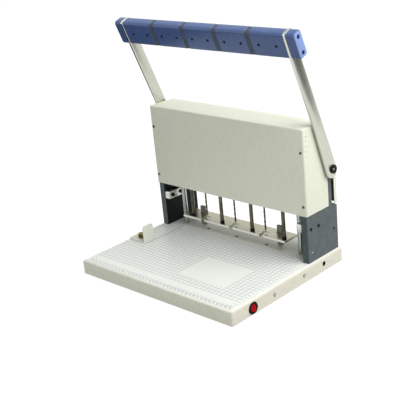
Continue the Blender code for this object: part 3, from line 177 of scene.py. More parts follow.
class Wiring(Graph):
    """Wires the inside of each effect, from its node group's own inputs."""

    rubbed_edge: Pair = (0.51, 0.58)
    wear_patches: Pair = (0.44, 0.62)
    dust_patches: Pair = (0.4, 0.7)
    line_shades: Pair = (0.3, 0.7)
    upward: Pair = (0.6, 1.0)
    lying_along: Pair = (0.72, 0.62)
    looking_along: Pair = (0.75, 0.95)

    def __init__(self, tree: bpy.types.NodeTree) -> None:
        """Start from the inputs that the group has."""
        super().__init__(tree)
        self.given = tree.nodes.new("NodeGroupInput").outputs

    def drift(self, detail: float) -> Socket:
        """Return noise of the group's scale, centred on zero."""
        return self.maths("SUBTRACT", self.noise(self.given["Scale"], detail), 0.5)

    def edge_wear(self) -> Sockets:
        """Rub the outer edges, in patches.

        Returns:
            The mask of what is rubbed.
        """
        raised = self.spread(self.add("NewGeometry").outputs["Pointiness"], self.rubbed_edge)
        patchy = self.spread(self.noise(self.given["Breakup"]), self.wear_patches)
        return {"Mask": self.product(raised, patchy, self.given["Amount"])}

    def orange_peel(self) -> Sockets:
        """Return the fine waviness of sprayed powder or of a moulded face."""
        return {"Height": self.noise(self.given["Scale"], 1.5)}

    def brushed(self) -> Sockets:
        """Draw noise out along one direction, into fine parallel lines.

        Returns:
            The lines as a factor for a colour, and their height.
        """
        drawn = self.vectors("MULTIPLY", self.coordinates(), self.given["Stretch"])["Vector"]
        lines = self.noise(1.0, 4.0, drawn)
        shades = [self.maths(way, 1.0, self.given["Contrast"]) for way in ("SUBTRACT", "ADD")]
        return {"Value": self.spread(lines, self.line_shades, shades), "Height": lines}

    def mottle(self) -> Sockets:
        """Return a colour that drifts slightly lighter and darker over the surface."""
        factor = self.maths("MULTIPLY_ADD", self.drift(2.0), self.given["Amount"], 1.0)
        return {"Colour": self.scaled(self.given["Colour"], factor)}

    def smear(self) -> Sockets:
        """Return a roughness that varies with handling and wiping."""
        smudge = self.drift(4.0)
        return {"Roughness": self.maths("MULTIPLY_ADD", smudge, self.given["Range"], self.given["Level"])}

    def dust(self) -> Sockets:
        """Lay a thin patchy film on faces that look up.

        Returns:
            The film's mask.
        """
        level = self.spread(self.split(self.normal())["Z"], self.upward)
        patchy = self.spread(self.noise(60.0, 5.0), self.dust_patches)
        return {"Mask": self.product(level, patchy, self.given["Amount"])}

    def inside(self) -> Sockets:
        """Return a mask of the faces that look towards the middle of a housing, where shade is painted."""
        outward = self.vectors("SUBTRACT", self.coordinates(), self.given["Centre"])["Vector"]
        return {"Mask": self.maths("LESS_THAN", self.dot(outward, self.normal()), 0.0)}

    def turned_away(self) -> Sockets:
        """Return masks of the faces that lie along an axis and of those that look along it."""
        share = self.maths("ABSOLUTE", self.dot(self.normal(), self.given["Axis"]))
        return {"Sides": self.spread(share, self.lying_along), "Ends": self.spread(share, self.looking_along)}

    def ruled(self) -> Sockets:
        """Rule a rectangle with upright lines and with lines across.

        Returns:
            The rectangle's mask and those of the two sets of lines.
        """
        place = self.split(self.coordinates())
        low, high = (self.split(self.given[f"{end} corner"]) for end in ("Low", "High"))
        half_line, half_pitch = (self.product(self.given[name], 0.5) for name in ("Line", "Pitch"))
        borders, lines = [], []
        for axis in ("X", "Y"):
            start, stop = self.maths("SUBTRACT", low[axis], half_line), self.maths("ADD", high[axis], half_line)
            borders.append(self.maths("GREATER_THAN", place[axis], start))
            borders.append(self.maths("LESS_THAN", place[axis], stop))
            offset = self.maths("SUBTRACT", place[axis], low[axis])
            lines.append(self.maths("LESS_THAN", self.maths("PINGPONG", offset, half_pitch), half_line))
        inside = self.product(*borders)
        return {"Inside": inside, "Upright": self.product(lines[0], inside),
                "Across": self.product(lines[1], inside)}


WIRING: dict[Effect, tuple[dict, Callable[[Wiring], Sockets]]] = {
    Effect.EDGE_WEAR: ({"Amount": 0.5, "Breakup": 90.0}, Wiring.edge_wear),
    Effect.ORANGE_PEEL: ({"Scale": 900.0}, Wiring.orange_peel),
    Effect.BRUSHED: ({"Stretch": (1.0, 1.0, 1.0), "Contrast": 0.1}, Wiring.brushed),
    Effect.MOTTLE: ({"Colour": (1.0, 1.0, 1.0, 1.0), "Scale": 12.0, "Amount": 0.1}, Wiring.mottle),
    Effect.SMEAR: ({"Scale": 18.0, "Level": 0.5, "Range": 0.2}, Wiring.smear),
    Effect.DUST: ({"Amount": 0.1}, Wiring.dust),
    Effect.INSIDE: ({"Centre": ORIGIN}, Wiring.inside),
    Effect.TURNED_AWAY: ({"Axis": Z_AXIS}, Wiring.turned_away),
    Effect.RULED: ({"Pitch": 0.01, "Line": 0.0005, "Low corner": ORIGIN, "High corner": ORIGIN}, Wiring.ruled),
}


def effect_group(effect: Effect) -> bpy.types.NodeTree:
    """Build an effect's node group once.

    Args:
        effect: The effect wanted.

    Returns:
        Its node group, with named inputs and outputs.
    """
    found = bpy.data.node_groups.get(effect.value)
    if found:
        return found
    defaults, wire = WIRING[effect]
    tree = bpy.data.node_groups.new(effect.value, "ShaderNodeTree")
    for name, value in defaults.items():
        kind = "Float" if isinstance(value, float) else "Color" if name == "Colour" else "Vector"
        tree.interface.new_socket(name, in_out="INPUT", socket_type=f"NodeSocket{kind}").default_value = value
    wired = wire(Wiring(tree))
    sink = tree.nodes.new("NodeGroupOutput")
    for name, socket in wired.items():
        kind = "Color" if name == "Colour" else "Float"
        tree.interface.new_socket(name, in_out="OUTPUT", socket_type=f"NodeSocket{kind}")
        tree.links.new(socket, sink.inputs[name])
    return tree


# --------------------------------------------------------------------------- finishes
@dataclass(frozen=True)
class Finish:
    """A surface: its colour, its gloss, how it has been worked, and painted light and shade on some of its faces.
    """

    name: str
    slot: str
    colour: Colour
    roughness: float
    worn_colour: Colour = (0.6, 0.6, 0.58)
    wear: float = 0.15
    mottle: float = 0.06
    smear: float = 0.12
    dust: float = 0.0
    dust_colour: Colour = (0.55, 0.54, 0.50)
    bump: float = 0.00002
    specular: float = 0.3
    metallic: float = 0.0
    # inside holds the centre and colour of painted shade on faces that look inward.
    inside: tuple[Point, Colour] | None = None
    # cut_faces gives faces that lie along an axis their own tone and roughness: painted shade on the tray's side
    # walls, a polished edge on the arms.
    cut_faces: tuple[Point, Colour, float] | None = None
    # end_faces lays a lighter or darker colour, painted light and shade, on faces that look along an axis.
    end_faces: tuple[Point, Colour] | None = None

    def material(self) -> bpy.types.Material:
        """Build the finish's material once.

        Returns:
            The material.
        """
        found = bpy.data.materials.get(self.name)
        if found:
            return found
        made = bpy.data.materials.new(self.name)
        made.use_nodes = True
        graph = Graph(made.node_tree)
        shader = made.node_tree.nodes["Principled BSDF"].inputs
        shader["Metallic"].default_value = self.metallic
        shader["Specular IOR Level"].default_value = self.specular
        colour, height = self.surface(graph)
        rough = graph.effect(Effect.SMEAR, Level=self.roughness, Range=self.smear)["Roughness"]
        # Faces that lie along the axis: painted shade on some finishes, a polished edge on others.
        if self.cut_faces:
            axis, side_tone_and_shade, cut_roughness = self.cut_faces
            side_mask = graph.effect(Effect.TURNED_AWAY, Axis=axis)["Sides"]
            colour = graph.lay(side_mask, colour, side_tone_and_shade)
            rough = graph.maths("ADD", rough, graph.product(side_mask, cut_roughness - self.roughness))
        bump = graph.add("Bump", {"Strength": 1.0, "Distance": self.bump, "Height": height})
        graph.feed(shader["Base Color"], self.aged(graph, colour))
        graph.feed(shader["Roughness"], rough)
        graph.feed(shader["Normal"], bump.outputs["Normal"])
        return made

    def aged(self, graph: Graph, colour: Socket) -> Socket:
        """Lay the painted light and shade of the end faces, wear, dust and painted shade on inner faces over a
        colour.

        Args:
            graph: The material's graph.
            colour: The colour of the new surface.

        Returns:
            The colour of the surface in use.
        """
        # Painted light and shade: faces that look along the axis are made lighter or darker for how light falls
        # on them.
        if self.end_faces:
            axis, end_shading_colour = self.end_faces
            colour = graph.lay(graph.effect(Effect.TURNED_AWAY, Axis=axis)["Ends"], colour, end_shading_colour)
        colour = graph.lay(graph.effect(Effect.EDGE_WEAR, Amount=self.wear)["Mask"], colour, self.worn_colour)
        if self.dust:
            colour = graph.lay(graph.effect(Effect.DUST, Amount=self.dust)["Mask"], colour, self.dust_colour)
        # Painted shade: faces that look inward, into the housing, are darkened where shade falls.
        if self.inside:
            centre, inner_shade_colour = self.inside
            colour = graph.lay(graph.effect(Effect.INSIDE, Centre=centre)["Mask"], colour, inner_shade_colour)
        return colour

    def surface(self, graph: Graph) -> tuple[Socket, Socket]:
        """Return the colour and the height of the new surface."""
        colour = graph.effect(Effect.MOTTLE, Colour=(*self.colour, 1.0), Amount=self.mottle)["Colour"]
        return colour, graph.effect(Effect.ORANGE_PEEL)["Height"]


@dataclass(frozen=True)
class Metal(Finish):
    """Bare metal with fine lines along one direction."""

    specular: float = 0.5
    metallic: float = 1.0
    stretch: Point = (40.0, 1400.0, 1400.0)
    contrast: float = 0.10

    def surface(self, graph: Graph) -> tuple[Socket, Socket]:
        """Brush the metal.

        Args:
            graph: The material's graph.

        Returns:
            The colour and the height of the brushed lines.
        """
        lines = graph.effect(Effect.BRUSHED, Stretch=self.stretch, Contrast=self.contrast)
        tinted = graph.scaled(self.colour, lines["Value"])
        return graph.effect(Effect.MOTTLE, Colour=tinted, Amount=self.mottle)["Colour"], lines["Height"]


@dataclass(frozen=True)
class RuledFilm(Finish):
    """White film printed with a centimetre grid, edge scales and a bare field."""

    ink: Colour = (0.20, 0.285, 0.335)
    ink_share: float = 0.90
    faded_share: float = 0.765
    across_share: float = 0.9
    pitch: float = 0.010
    half_pitch: float = 0.005
    line: float = 0.0010
    tick: float = 0.0012
    grid: Area = ((-0.1935, -0.1323, 0.0), (0.1865, 0.0777, 0.0))
    bare_field: Area = ((0.0097, -0.1035, 0.0), (0.1325, -0.0144, 0.0))
    guide: Area = ((-0.1535, -0.0385, 0.0), (-0.1535, 0.0777, 0.0))
    guide_line: float = 0.0018
    guide_ink: Colour = (0.07, 0.13, 0.20)
    left_scale: Area = ((-0.1965, -0.1523, 0.0), (-0.1935, 0.0577, 0.0))
    right_scale: Area = ((0.1905, -0.1523, 0.0), (0.1975, 0.0377, 0.0))
    front_scale: Area = ((-0.1935, -0.1574, 0.0), (0.1965, -0.1522, 0.0))

    def surface(self, graph: Graph) -> tuple[Socket, Socket]:
        """Print on the plain film.

        Args:
            graph: The material's graph.

        Returns:
            The printed colour and the height of the film's faint texture.
        """
        film, height = super().surface(graph)
        grid = self.ruled(graph, self.grid, self.line)
        field = self.ruled(graph, self.bare_field, self.line)["Inside"]
        lines = graph.maths("MAXIMUM", grid["Upright"], graph.product(grid["Across"], self.across_share))
        printed = graph.product(lines, graph.maths("SUBTRACT", 1.0, field))
        for area, direction, pitch in ((self.left_scale, "Across", self.pitch),
                                       (self.right_scale, "Across", self.pitch),
                                       (self.front_scale, "Upright", self.half_pitch)):
            printed = graph.maths("MAXIMUM", printed, self.ruled(graph, area, self.tick, pitch)[direction])
        faded = graph.spread(graph.noise(25.0), Wiring.line_shades, (self.faded_share, self.ink_share))
        inked = graph.lay(graph.product(printed, faded), film, self.ink)
        guide = self.ruled(graph, self.guide, self.guide_line)["Inside"]
        return graph.lay(graph.product(guide, self.ink_share), inked, self.guide_ink), height

    def ruled(self, graph: Graph, area: Area, line: float, pitch: float = 0.010) -> Sockets:
        """Return the ruled masks of one printed area."""
        return graph.effect(Effect.RULED, Pitch=pitch, Line=line, Low_corner=area[0], High_corner=area[1])


# Painted light on the tray's upward faces and painted shade on its side walls.
CREAM = Finish("cream powder coat with painted light and shade", "cream_paint", (0.785, 0.80, 0.665), 0.42, (0.45, 0.44, 0.40), 0.10,
               mottle=0.03, bump=0.000025, end_faces=(Z_AXIS, (0.87, 0.885, 0.815)),
               cut_faces=(Y_AXIS, (0.72, 0.70, 0.585), 0.42))
# Inward faces of the covers are near black: painted shade inside the housing.
COVER_CREAM = replace(CREAM, name="cream cover coat with painted inner shade", mottle=0.015, smear=0.05, dust=0.04, end_faces=None,
                      cut_faces=None, inside=((0.0, 0.1180, 0.2200), (0.012, 0.013, 0.012)))
# Faces that look forward and back are darker: painted shade.
PLATE_GREY = Finish("blue grey paint with painted end shade", "grey_paint", (0.098, 0.120, 0.125), 0.50, (0.28, 0.29, 0.28), 0.12,
                    mottle=0.03, smear=0.06, specular=0.15, end_faces=(Y_AXIS, (0.066, 0.088, 0.092)))
# The left plate's inward faces are near black: painted shade between the plates.
LEFT_PLATE = replace(PLATE_GREY, name="left plate paint with painted inner shade", specular=0.12, end_faces=None,
                     inside=((0.0, 0.1180, 0.1500), (0.007, 0.013, 0.013)))
FILM = RuledFilm("printed film", "mat_print", (0.83, 0.85, 0.80), 0.40, wear=0.0, mottle=0.02, bump=0.000008,
                 specular=0.4)
GRIP_BLUE = Finish("blue moulding", "blue_plastic", (0.065, 0.120, 0.295), 0.24, (0.25, 0.32, 0.52), 0.05,
                   mottle=0.02, smear=0.05, bump=0.000012, specular=0.35)
# Cap end faces lighter: painted highlight; the lighter rubbed edges are wear and partly painted highlight.
CAP_BLUE = replace(GRIP_BLUE, name="blue cap moulding with painted highlights", wear=0.1, end_faces=(X_AXIS, (0.27, 0.37, 0.68)))
# A darker copy of the grip blue for the plugs and rings in the wells: painted shade.
WELL_SHADE_BLUE = replace(GRIP_BLUE, name="shaded blue moulding", colour=(0.032, 0.065, 0.21), roughness=0.50,
                    worn_colour=(0.06, 0.09, 0.22), wear=0.1, specular=0.12)
SPACER_GREY = Finish("grey moulding", "grey_plastic", (0.055, 0.075, 0.105), 0.50, (0.2, 0.21, 0.21))
STOP_GREY = Finish("grey stop coat", "grey_plastic", (0.25, 0.26, 0.21), 0.45, (0.4, 0.4, 0.36), 0.2,
                   mottle=0.10)
STOP_CREAM = Finish("cream moulding", "stop_plastic", (0.76, 0.785, 0.68), 0.45, (0.6, 0.6, 0.55), 0.10)
SATIN_STEEL = Metal("satin steel", "satin_steel", (0.56, 0.565, 0.49), 0.34, (0.72, 0.72, 0.66), 0.2,
                    stretch=(1400.0, 1400.0, 60.0), contrast=0.07, bump=0.000006)
ARM_STEEL = replace(SATIN_STEEL, name="arm steel", colour=(0.57, 0.58, 0.50), roughness=0.32, wear=0.15,
                    cut_faces=(X_AXIS, (0.56, 0.57, 0.52), 0.10))
SCREW_STEEL = Metal("zinc plated screws", "satin_steel", (0.50, 0.50, 0.45), 0.30, (0.7, 0.7, 0.66), 0.2,
                    stretch=(500.0, 500.0, 500.0), contrast=0.12)
PLATED_STEEL = Metal("plated steel", "bright_steel", (0.62, 0.61, 0.57), 0.20, (0.75, 0.74, 0.70), 0.10,
                     contrast=0.05, bump=0.000003)
# Faces that look forward and back are near white: painted highlight on the plate's front edge.
PRESS_STEEL = Metal("press steel with painted edge highlight", "bright_steel", (0.50, 0.485, 0.37), 0.30, (0.7, 0.69, 0.6), 0.10,
                    contrast=0.06, bump=0.000004, end_faces=(Y_AXIS, (0.95, 0.95, 0.92)))
GROUND_STEEL = Metal("ground steel", "bright_steel", (0.40, 0.43, 0.40), 0.12, (0.75, 0.74, 0.70), 0.0,
                     stretch=(300.0, 300.0, 300.0), contrast=0.05, bump=0.000002)
BLACK_STEEL = Metal("blackened steel", "dark_steel", (0.045, 0.045, 0.043), 0.36, (0.22, 0.21, 0.19), 0.5,
                    stretch=(700.0, 700.0, 90.0), contrast=0.25, bump=0.000006)
BLACK_OXIDE = Finish("black oxide", "dark_steel", (0.008, 0.007, 0.007), 0.45, (0.03, 0.028, 0.025), 0.1,
                     mottle=0.2, bump=0.000006, specular=0.12)
ROD_STEEL = Metal("oiled steel", "dark_steel", (0.085, 0.080, 0.060), 0.24, (0.3, 0.28, 0.22), 0.3,
                  stretch=(900.0, 900.0, 60.0), contrast=0.30, bump=0.000004)
DRILL_STEEL = Metal("drill steel", "dark_steel", (0.085, 0.075, 0.058), 0.25, (0.45, 0.42, 0.34), 0.3,
                    stretch=(900.0, 900.0, 900.0), contrast=0.2, bump=0.000003)
MILLED = Metal("milled aluminium", "aluminium", (0.60, 0.605, 0.57), 0.40, (0.75, 0.75, 0.73), 0.2,
               stretch=(60.0, 1200.0, 1200.0), bump=0.000008)
# The dark base colour stands for dark reflections: painted reflection; the lighter rubbed edges are wear and
# partly painted highlight.
BRASS = Metal("brass with painted dark reflection", "brass", (0.16, 0.115, 0.032), 0.28, (0.50, 0.42, 0.20), 0.5,
              stretch=(900.0, 900.0, 300.0), contrast=0.25)
RUBBER = Finish("moulded rubber", "rubber", (0.022, 0.022, 0.022), 0.75, (0.06, 0.06, 0.06), 0.2, dust=0.1)
BELT = Finish("woven belt", "belt_rubber", (0.03, 0.03, 0.03), 0.7, (0.07, 0.07, 0.07), 0.2, bump=0.00006)
BLACK_PLASTIC = Finish("black moulding", "black_plastic", (0.006, 0.005, 0.005), 0.45, (0.04, 0.04, 0.04), 0.1,
                       specular=0.07)
RED_PLASTIC = Finish("red rocker", "red_plastic", (0.38, 0.0015, 0.004), 0.30, (0.5, 0.06, 0.06), 0.1,
                     bump=0.000005, specular=0.05)
INK = Finish("scale ink", "mat_print", (0.15, 0.19, 0.22), 0.45, wear=0.0, bump=0.000002)
WHITE_INK = Finish("white marking", "red_plastic", (0.80, 0.80, 0.78), 0.4, wear=0.0, bump=0.000002)


# --------------------------------------------------------------------------- meshes
class Shape(Enum):
    """Outline of one ring of a turned piece."""

    ROUND = "round"
    HEX = "hex"
    CROSS = "cross"
    KNURL = "knurl"


CROSS_ARM = 0.26
KNURL_VALLEY = 0.93
MERGED_REACH = 0.000002
CRISP_ANGLE = math.radians(32)
SMOOTH_ANGLE = math.radians(35)


def ring_reach(shape: Shape, angle: float, count: int) -> float:
    """Find how far out a ring goes.

    Args:
        shape: The ring's outline.
        angle: Where on the ring.
        count: The number of the point there.

    Returns:
        The reach as a share of the ring's radius.
    """
    if shape is Shape.HEX:
        sixth = math.pi / 3
        return math.cos(sixth / 2) / math.cos((angle % sixth) - sixth / 2)
    if shape is Shape.CROSS:
        along, across = sorted((abs(math.cos(angle)), abs(math.sin(angle))), reverse=True)
        return 1 / along if across / along < CROSS_ARM else CROSS_ARM / across
    return KNURL_VALLEY if shape is Shape.KNURL and count % 2 == 0 else 1.0


def skinned(bm: Mesh, rings: Sequence[list], stand: Matrix) -> Mesh:
    """Join each ring to the next and stand the piece in its place.

    Args:
        bm: The mesh that holds the rings' points.
        rings: Lists of points, all of one length, or of one point where the piece closes.
        stand: The matrix from the piece's own axes to the frame.

    Returns:
        The same mesh.
    """
    for low, high in zip(rings, rings[1:]):
        order = ((low, 0), (low, 1), (high, 1), (high, 0))
        for step in range(max(len(low), len(high))):
            corners = [ring[(step + ahead) % len(ring)] for ring, ahead in order]
            bm.faces.new(list(dict.fromkeys(corners)))
    bmesh.ops.recalc_face_normals(bm, faces=bm.faces)
    bm.transform(stand)
    return bm


def turned(profile: Profile, sides: int, stand: Matrix) -> Mesh:
    """Turn a profile round the Z axis and stand the piece in its place.

    Args:
        profile: (radius, height) or (radius, height, shape) from one end to the other.
        sides: How many points each ring has.
        stand: The matrix from the piece's own axes to the frame.

    Returns:
        A closed mesh.
    """
    bm = bmesh.new()
    rings = []
    for radius, height, *shape in profile:
        ring = []
        for step in range(sides if radius else 1):
            angle = 2 * math.pi * step / sides
            reach = radius * ring_reach(shape[0] if shape else Shape.ROUND, angle, step)
            ring.append(bm.verts.new((reach * math.cos(angle), reach * math.sin(angle), height)))
        rings.append(ring)
    return skinned(bm, rings, stand)


def slab(size: Point, stand: Matrix) -> Mesh:
    """Build a block that stands on the middle of its foot.

    Args:
        size: Its width, depth and height.
        stand: The matrix from the block's own axes to the frame.

    Returns:
        A closed mesh.
    """
    bm = bmesh.new()
    rings = [[bm.verts.new((x * size[0], y * size[1], z)) for x, y in CORNERS] for z in (0, size[2])]
    for ring in rings:
        bm.faces.new(ring)
    return skinned(bm, rings, stand)


def as_mesh(name: str, bm: Mesh) -> bpy.types.Mesh:
    """Turn a working mesh into Blender's own.

    Args:
        name: What it is called.
        bm: The working mesh, which is freed.

    Returns:
        The mesh.
    """
    mesh = bpy.data.meshes.new(name)
    bm.to_mesh(mesh)
    bm.free()
    return mesh


def joined(parts: Sequence[Mesh]) -> Mesh:
    """Put several meshes into one.

    Args:
        parts: The meshes, which are freed.

    Returns:
        The one mesh.
    """
    whole = bmesh.new()
    for part in parts:
        mesh = as_mesh("part", part)
        whole.from_mesh(mesh)
        bpy.data.meshes.remove(mesh)
    return whole


def in_scene(name: str, data: bpy.types.ID) -> bpy.types.Object:
    """Make an object and link it to the scene.

    Args:
        name: What it is called.
        data: Its mesh, lamp or camera.

    Returns:
        The object.
    """
    made = bpy.data.objects.new(name, data)
    bpy.context.scene.collection.objects.link(made)
    return made


def facing(place: Point, direction: Point) -> Matrix:
    """Return the matrix that stands a piece at a place with its Z axis along a direction."""
    turn = Vector(Z_AXIS).rotation_difference(Vector(direction))
    return Matrix.Translation(place) @ turn.to_matrix().to_4x4()


def side_seats(x: float, way: int, places: Sequence[Pair]) -> list[Matrix]:
    """Return seats at these Y and Z places on a face at X that looks left or right."""
    return [facing((x, y, z), (way, 0, 0)) for y, z in places]


def end_of(node: str, way: int) -> float:
    """Return the X of a node's right end, or of its left end where way is -1."""
    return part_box(node)[1 if way > 0 else 0].x


def upright(node: str) -> tuple[Matrix, float, float, float]:
    """Measure a round node that stands upright.

    Args:
        node: The node.

    Returns:
        The matrix of its axis, its radius, and the heights of its foot and its top.
    """
    low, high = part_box(node)
    axis = Matrix.Translation(((low.x + high.x) / 2, (low.y + high.y) / 2, 0))
    return axis, (high.x - low.x) / 2, low.z, high.z


def raised(profile: Profile, height: float) -> list[tuple]:
    """Return a profile moved up by a height."""
    return [(radius, place + height, *shape) for radius, place, *shape in profile]


def bar(radius: float, low: float, high: float, chamfer: float) -> list[tuple]:
    """Return the profile of a round bar with a chamfer at each end."""
    return [(0, low), (radius - chamfer, low), (radius, low + chamfer), (radius, high - chamfer),
            (radius - chamfer, high), (0, high)]


def washer(bore: float, rim: float) -> list[tuple]:
    """Return the profile of a pressed washer, sunk a little into its seat."""
    return [(bore, -0.0003), (rim, -0.0003), (rim + 0.0001, 0.0001), (rim - 0.0002, 0.0004), (bore, 0.0004),
            (bore, -0.0003)]


@dataclass(frozen=True)
class Turning:
    """A piece turned from one profile."""

    profile: Profile
    sides: int = 48

    def mesh(self, seat: Matrix) -> Mesh:
        """Return the piece on its seat, with Z out of the surface."""
        return turned(self.profile, self.sides, seat)


@dataclass(frozen=True)
class Screw:
    """A machine screw seen from outside: its head and its drive."""

    radius: float
    height: float
    drive: Shape = Shape.CROSS
    drive_radius: float = 0.0016
    drive_depth: float = 0.0010
    dome: float = 0.45
    sink: float = 0.0004

    def mesh(self, seat: Matrix) -> Mesh:
        """Build the screw.

        Args:
            seat: Its seat, with Z out of the surface.

        Returns:
            A closed mesh in place.
        """
        rise, shoulder = self.height, self.height * (1 - self.dome)
        profile = [(0, -self.sink), (self.radius, -self.sink), (self.radius, shoulder),
                   (self.radius * 0.93, rise * (1 - self.dome * 0.45)), (self.radius * 0.72, rise * 0.97),
                   (self.drive_radius * 1.15, rise), (self.drive_radius, rise, self.drive),
                   (self.drive_radius * 0.85, rise - self.drive_depth, self.drive),
                   (0, rise - self.drive_depth * 1.15)]
        return turned(profile, 48, seat)


class Bench:
    """Puts finished pieces on the frame's bodies."""

    def __init__(self, nodes: dict[str, bpy.types.Object]) -> None:
        """Keep the frame's nodes."""
        self.nodes = nodes

    def dress(self, name: str, finish: Finish, edge: float = 0.0003) -> None:
        """Give a node of the frame its finish and softened edges.

        Args:
            name: The node.
            finish: What its surface is.
            edge: Width of the softened edges, or 0 for none.
        """
        node = self.nodes[name]
        mesh = node.data
        mesh.materials.clear()
        mesh.materials.append(finish.material())
        if mesh.attributes.get("custom_normal"):
            mesh.attributes.remove(mesh.attributes["custom_normal"])
        mesh.polygons.foreach_set("use_smooth", [True] * len(mesh.polygons))
        mesh.update()
        node.modifiers.new("joined corners", "WELD").merge_threshold = MERGED_REACH
        if edge:
            soft = node.modifiers.new("softened edges", "BEVEL")
            soft.width = edge
            soft.segments = 2
            soft.limit_method = "ANGLE"
            soft.angle_limit = CRISP_ANGLE
            soft.use_clamp_overlap = True
            soft.harden_normals = True
        else:
            node.modifiers.new("crisp edges", "EDGE_SPLIT").split_angle = CRISP_ANGLE
        LOG.info("dressed %s in %s", name, finish.name)

    def place(self, name: str, bm: Mesh, finish: Finish, body: str,
              stands_for: Sequence[str] = ()) -> None:
        """Add a piece of our own making.

        Args:
            name: The piece's name.
            bm: Its mesh, in place, which is freed.
            finish: What its surface is.
            body: The body that it rides on.
            stands_for: Nodes of the frame that it is shown instead of.
        """
        mesh = as_mesh(name, bm)
        mesh.shade_smooth()
        mesh.set_sharp_from_angle(angle=SMOOTH_ANGLE)
        mesh.materials.append(finish.material())
        piece = in_scene(name, mesh)
        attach(piece, body)
        if stands_for:
            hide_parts(*stands_for)
        LOG.info("placed %s on %s", name, body)

    def fasten(self, name: str, rows: Sequence[tuple], finish: Finish, body: str = "base") -> None:
        """Place several fasteners as one piece.

        Args:
            name: The piece's name.
            rows: Each fastener with the seats that it has.
            finish: What their surface is.
            body: The body that they ride on.
        """
        meshes = [fastener.mesh(seat) for fastener, seats in rows for seat in seats]
        self.place(name, joined(meshes), finish, body)


# --------------------------------------------------------------------------- sub-assemblies
@dataclass
class Base:
    """Sheet steel tray on rubber feet, with the ruled film on its table."""

    bench: Bench
    foot_recess: float = 0.0012
    foot_edge: float = 0.0003
    side_screw_places: tuple = ((-0.049, 0.0174), (0.0428, 0.0196))
    side_screw: Screw = Screw(0.0024, 0.0012, Shape.CROSS, 0.0014, 0.0008)
    side_washer: Turning = Turning(washer(0.0020, 0.0038), 40)
    bush: Turning = Turning(((0, -0.0030), (0.0039, -0.0030), (0.0039, -0.0002), (0.0048, -0.0002),
                             (0.0048, 0.0002), (0.0045, 0.0004), (0.0036, 0.0004), (0.0033, 0.0),
                             (0.0033, -0.0020), (0, -0.0020)), 40)
    bush_place: Pair = (0.1070, 0.0202)
    bottom_screw: Screw = Screw(0.0032, 0.0014, Shape.CROSS, 0.0017, 0.0009)
    bottom_inset: float = 0.012
    numeral_height: float = 0.0050
    numeral_weight: float = 0.00016
    numeral_rise: float = 0.00004
    front_numerals: int = 40
    left_numerals: int = 20
    front_numeral_y: float = -0.1602
    left_numeral_x: float = -0.2002

    def build(self) -> None:
        """Dress the tray and add its feet, screws and numerals."""
        for name, finish, edge in (("base_tray", CREAM, 0.0), ("base_plate", SATIN_STEEL, 0.0003),
                                   ("ruled_mat", FILM, 0.00008), ("drill_pad_bar", BLACK_PLASTIC, 0.0002)):
            self.bench.dress(name, finish, edge)
        self.feet()
        self.screws()
        self.numerals()

    def feet(self) -> None:
        """Turned rubber feet with a recessed washer seat."""
        for name in [f"foot_{end}_{side}" for end in ("front", "rear") for side, _ in SIDES]:
            stand, radius, _, top = upright(f"rubber_{name}")
            profile = [(0, self.foot_recess), (radius * 0.35, self.foot_recess), (radius * 0.35, 0),
                       (radius * 0.82, 0), (radius * 0.87, self.foot_edge), (radius * 0.96, top * 0.6),
                       (radius, top), (0, top)]
            self.bench.place(name, turned(profile, 48, stand), RUBBER, "base", [f"rubber_{name}"])

    def screws(self) -> None:
        """Screws in the side walls and underneath, and the bush in the side hole."""
        seats = [seat for _, way in SIDES
                 for seat in side_seats(end_of("base_tray", way), way, self.side_screw_places)]
        self.bench.fasten("tray_side_screws", [(self.side_screw, seats)], SCREW_STEEL)
        self.bench.fasten("tray_side_washers", [(self.side_washer, seats)], BLACK_STEEL)
        hole = side_seats(end_of("base_tray", 1), 1, [self.bush_place])
        self.bench.fasten("side_hole_bush", [(self.bush, hole)], BLACK_OXIDE)
        low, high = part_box("base_plate")
        inset = self.bottom_inset
        below = [facing((x, y, low.z), (0, 0, -1)) for x in (low.x + inset, 0, high.x - inset)
                 for y in (low.y + inset, high.y - inset)]
        self.bench.fasten("base_plate_screws", [(self.bottom_screw, below)], SCREW_STEEL)

    def numerals(self) -> None:
        """Plain centimetre numbers along the film's front and left scales."""
        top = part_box("ruled_mat")[1].z + self.numeral_rise
        left, front = FILM.grid[0][0], FILM.grid[0][1]
        rows = [(number, left + number * FILM.pitch, self.front_numeral_y)
                for number in range(self.front_numerals)]
        rows += [(number, self.left_numeral_x, front + number * FILM.pitch)
                 for number in range(self.left_numerals)]
        whole = bmesh.new()
        for number, x, y in rows:
            curve = bpy.data.curves.new("numeral", "FONT")
            curve.body = str(number)
            curve.size = self.numeral_height
            curve.align_x = curve.align_y = "CENTER"
            curve.extrude = self.numeral_rise
            curve.offset = self.numeral_weight
            curve.resolution_u = 3
            holder = bpy.data.objects.new("numeral", curve)
            mesh = bpy.data.meshes.new_from_object(holder)
            mesh.transform(Matrix.Translation((x, y, top)))
            whole.from_mesh(mesh)
            bpy.data.objects.remove(holder)
            bpy.data.curves.remove(curve)
            bpy.data.meshes.remove(mesh)
        self.bench.place("scale_numerals", whole, INK, "base")


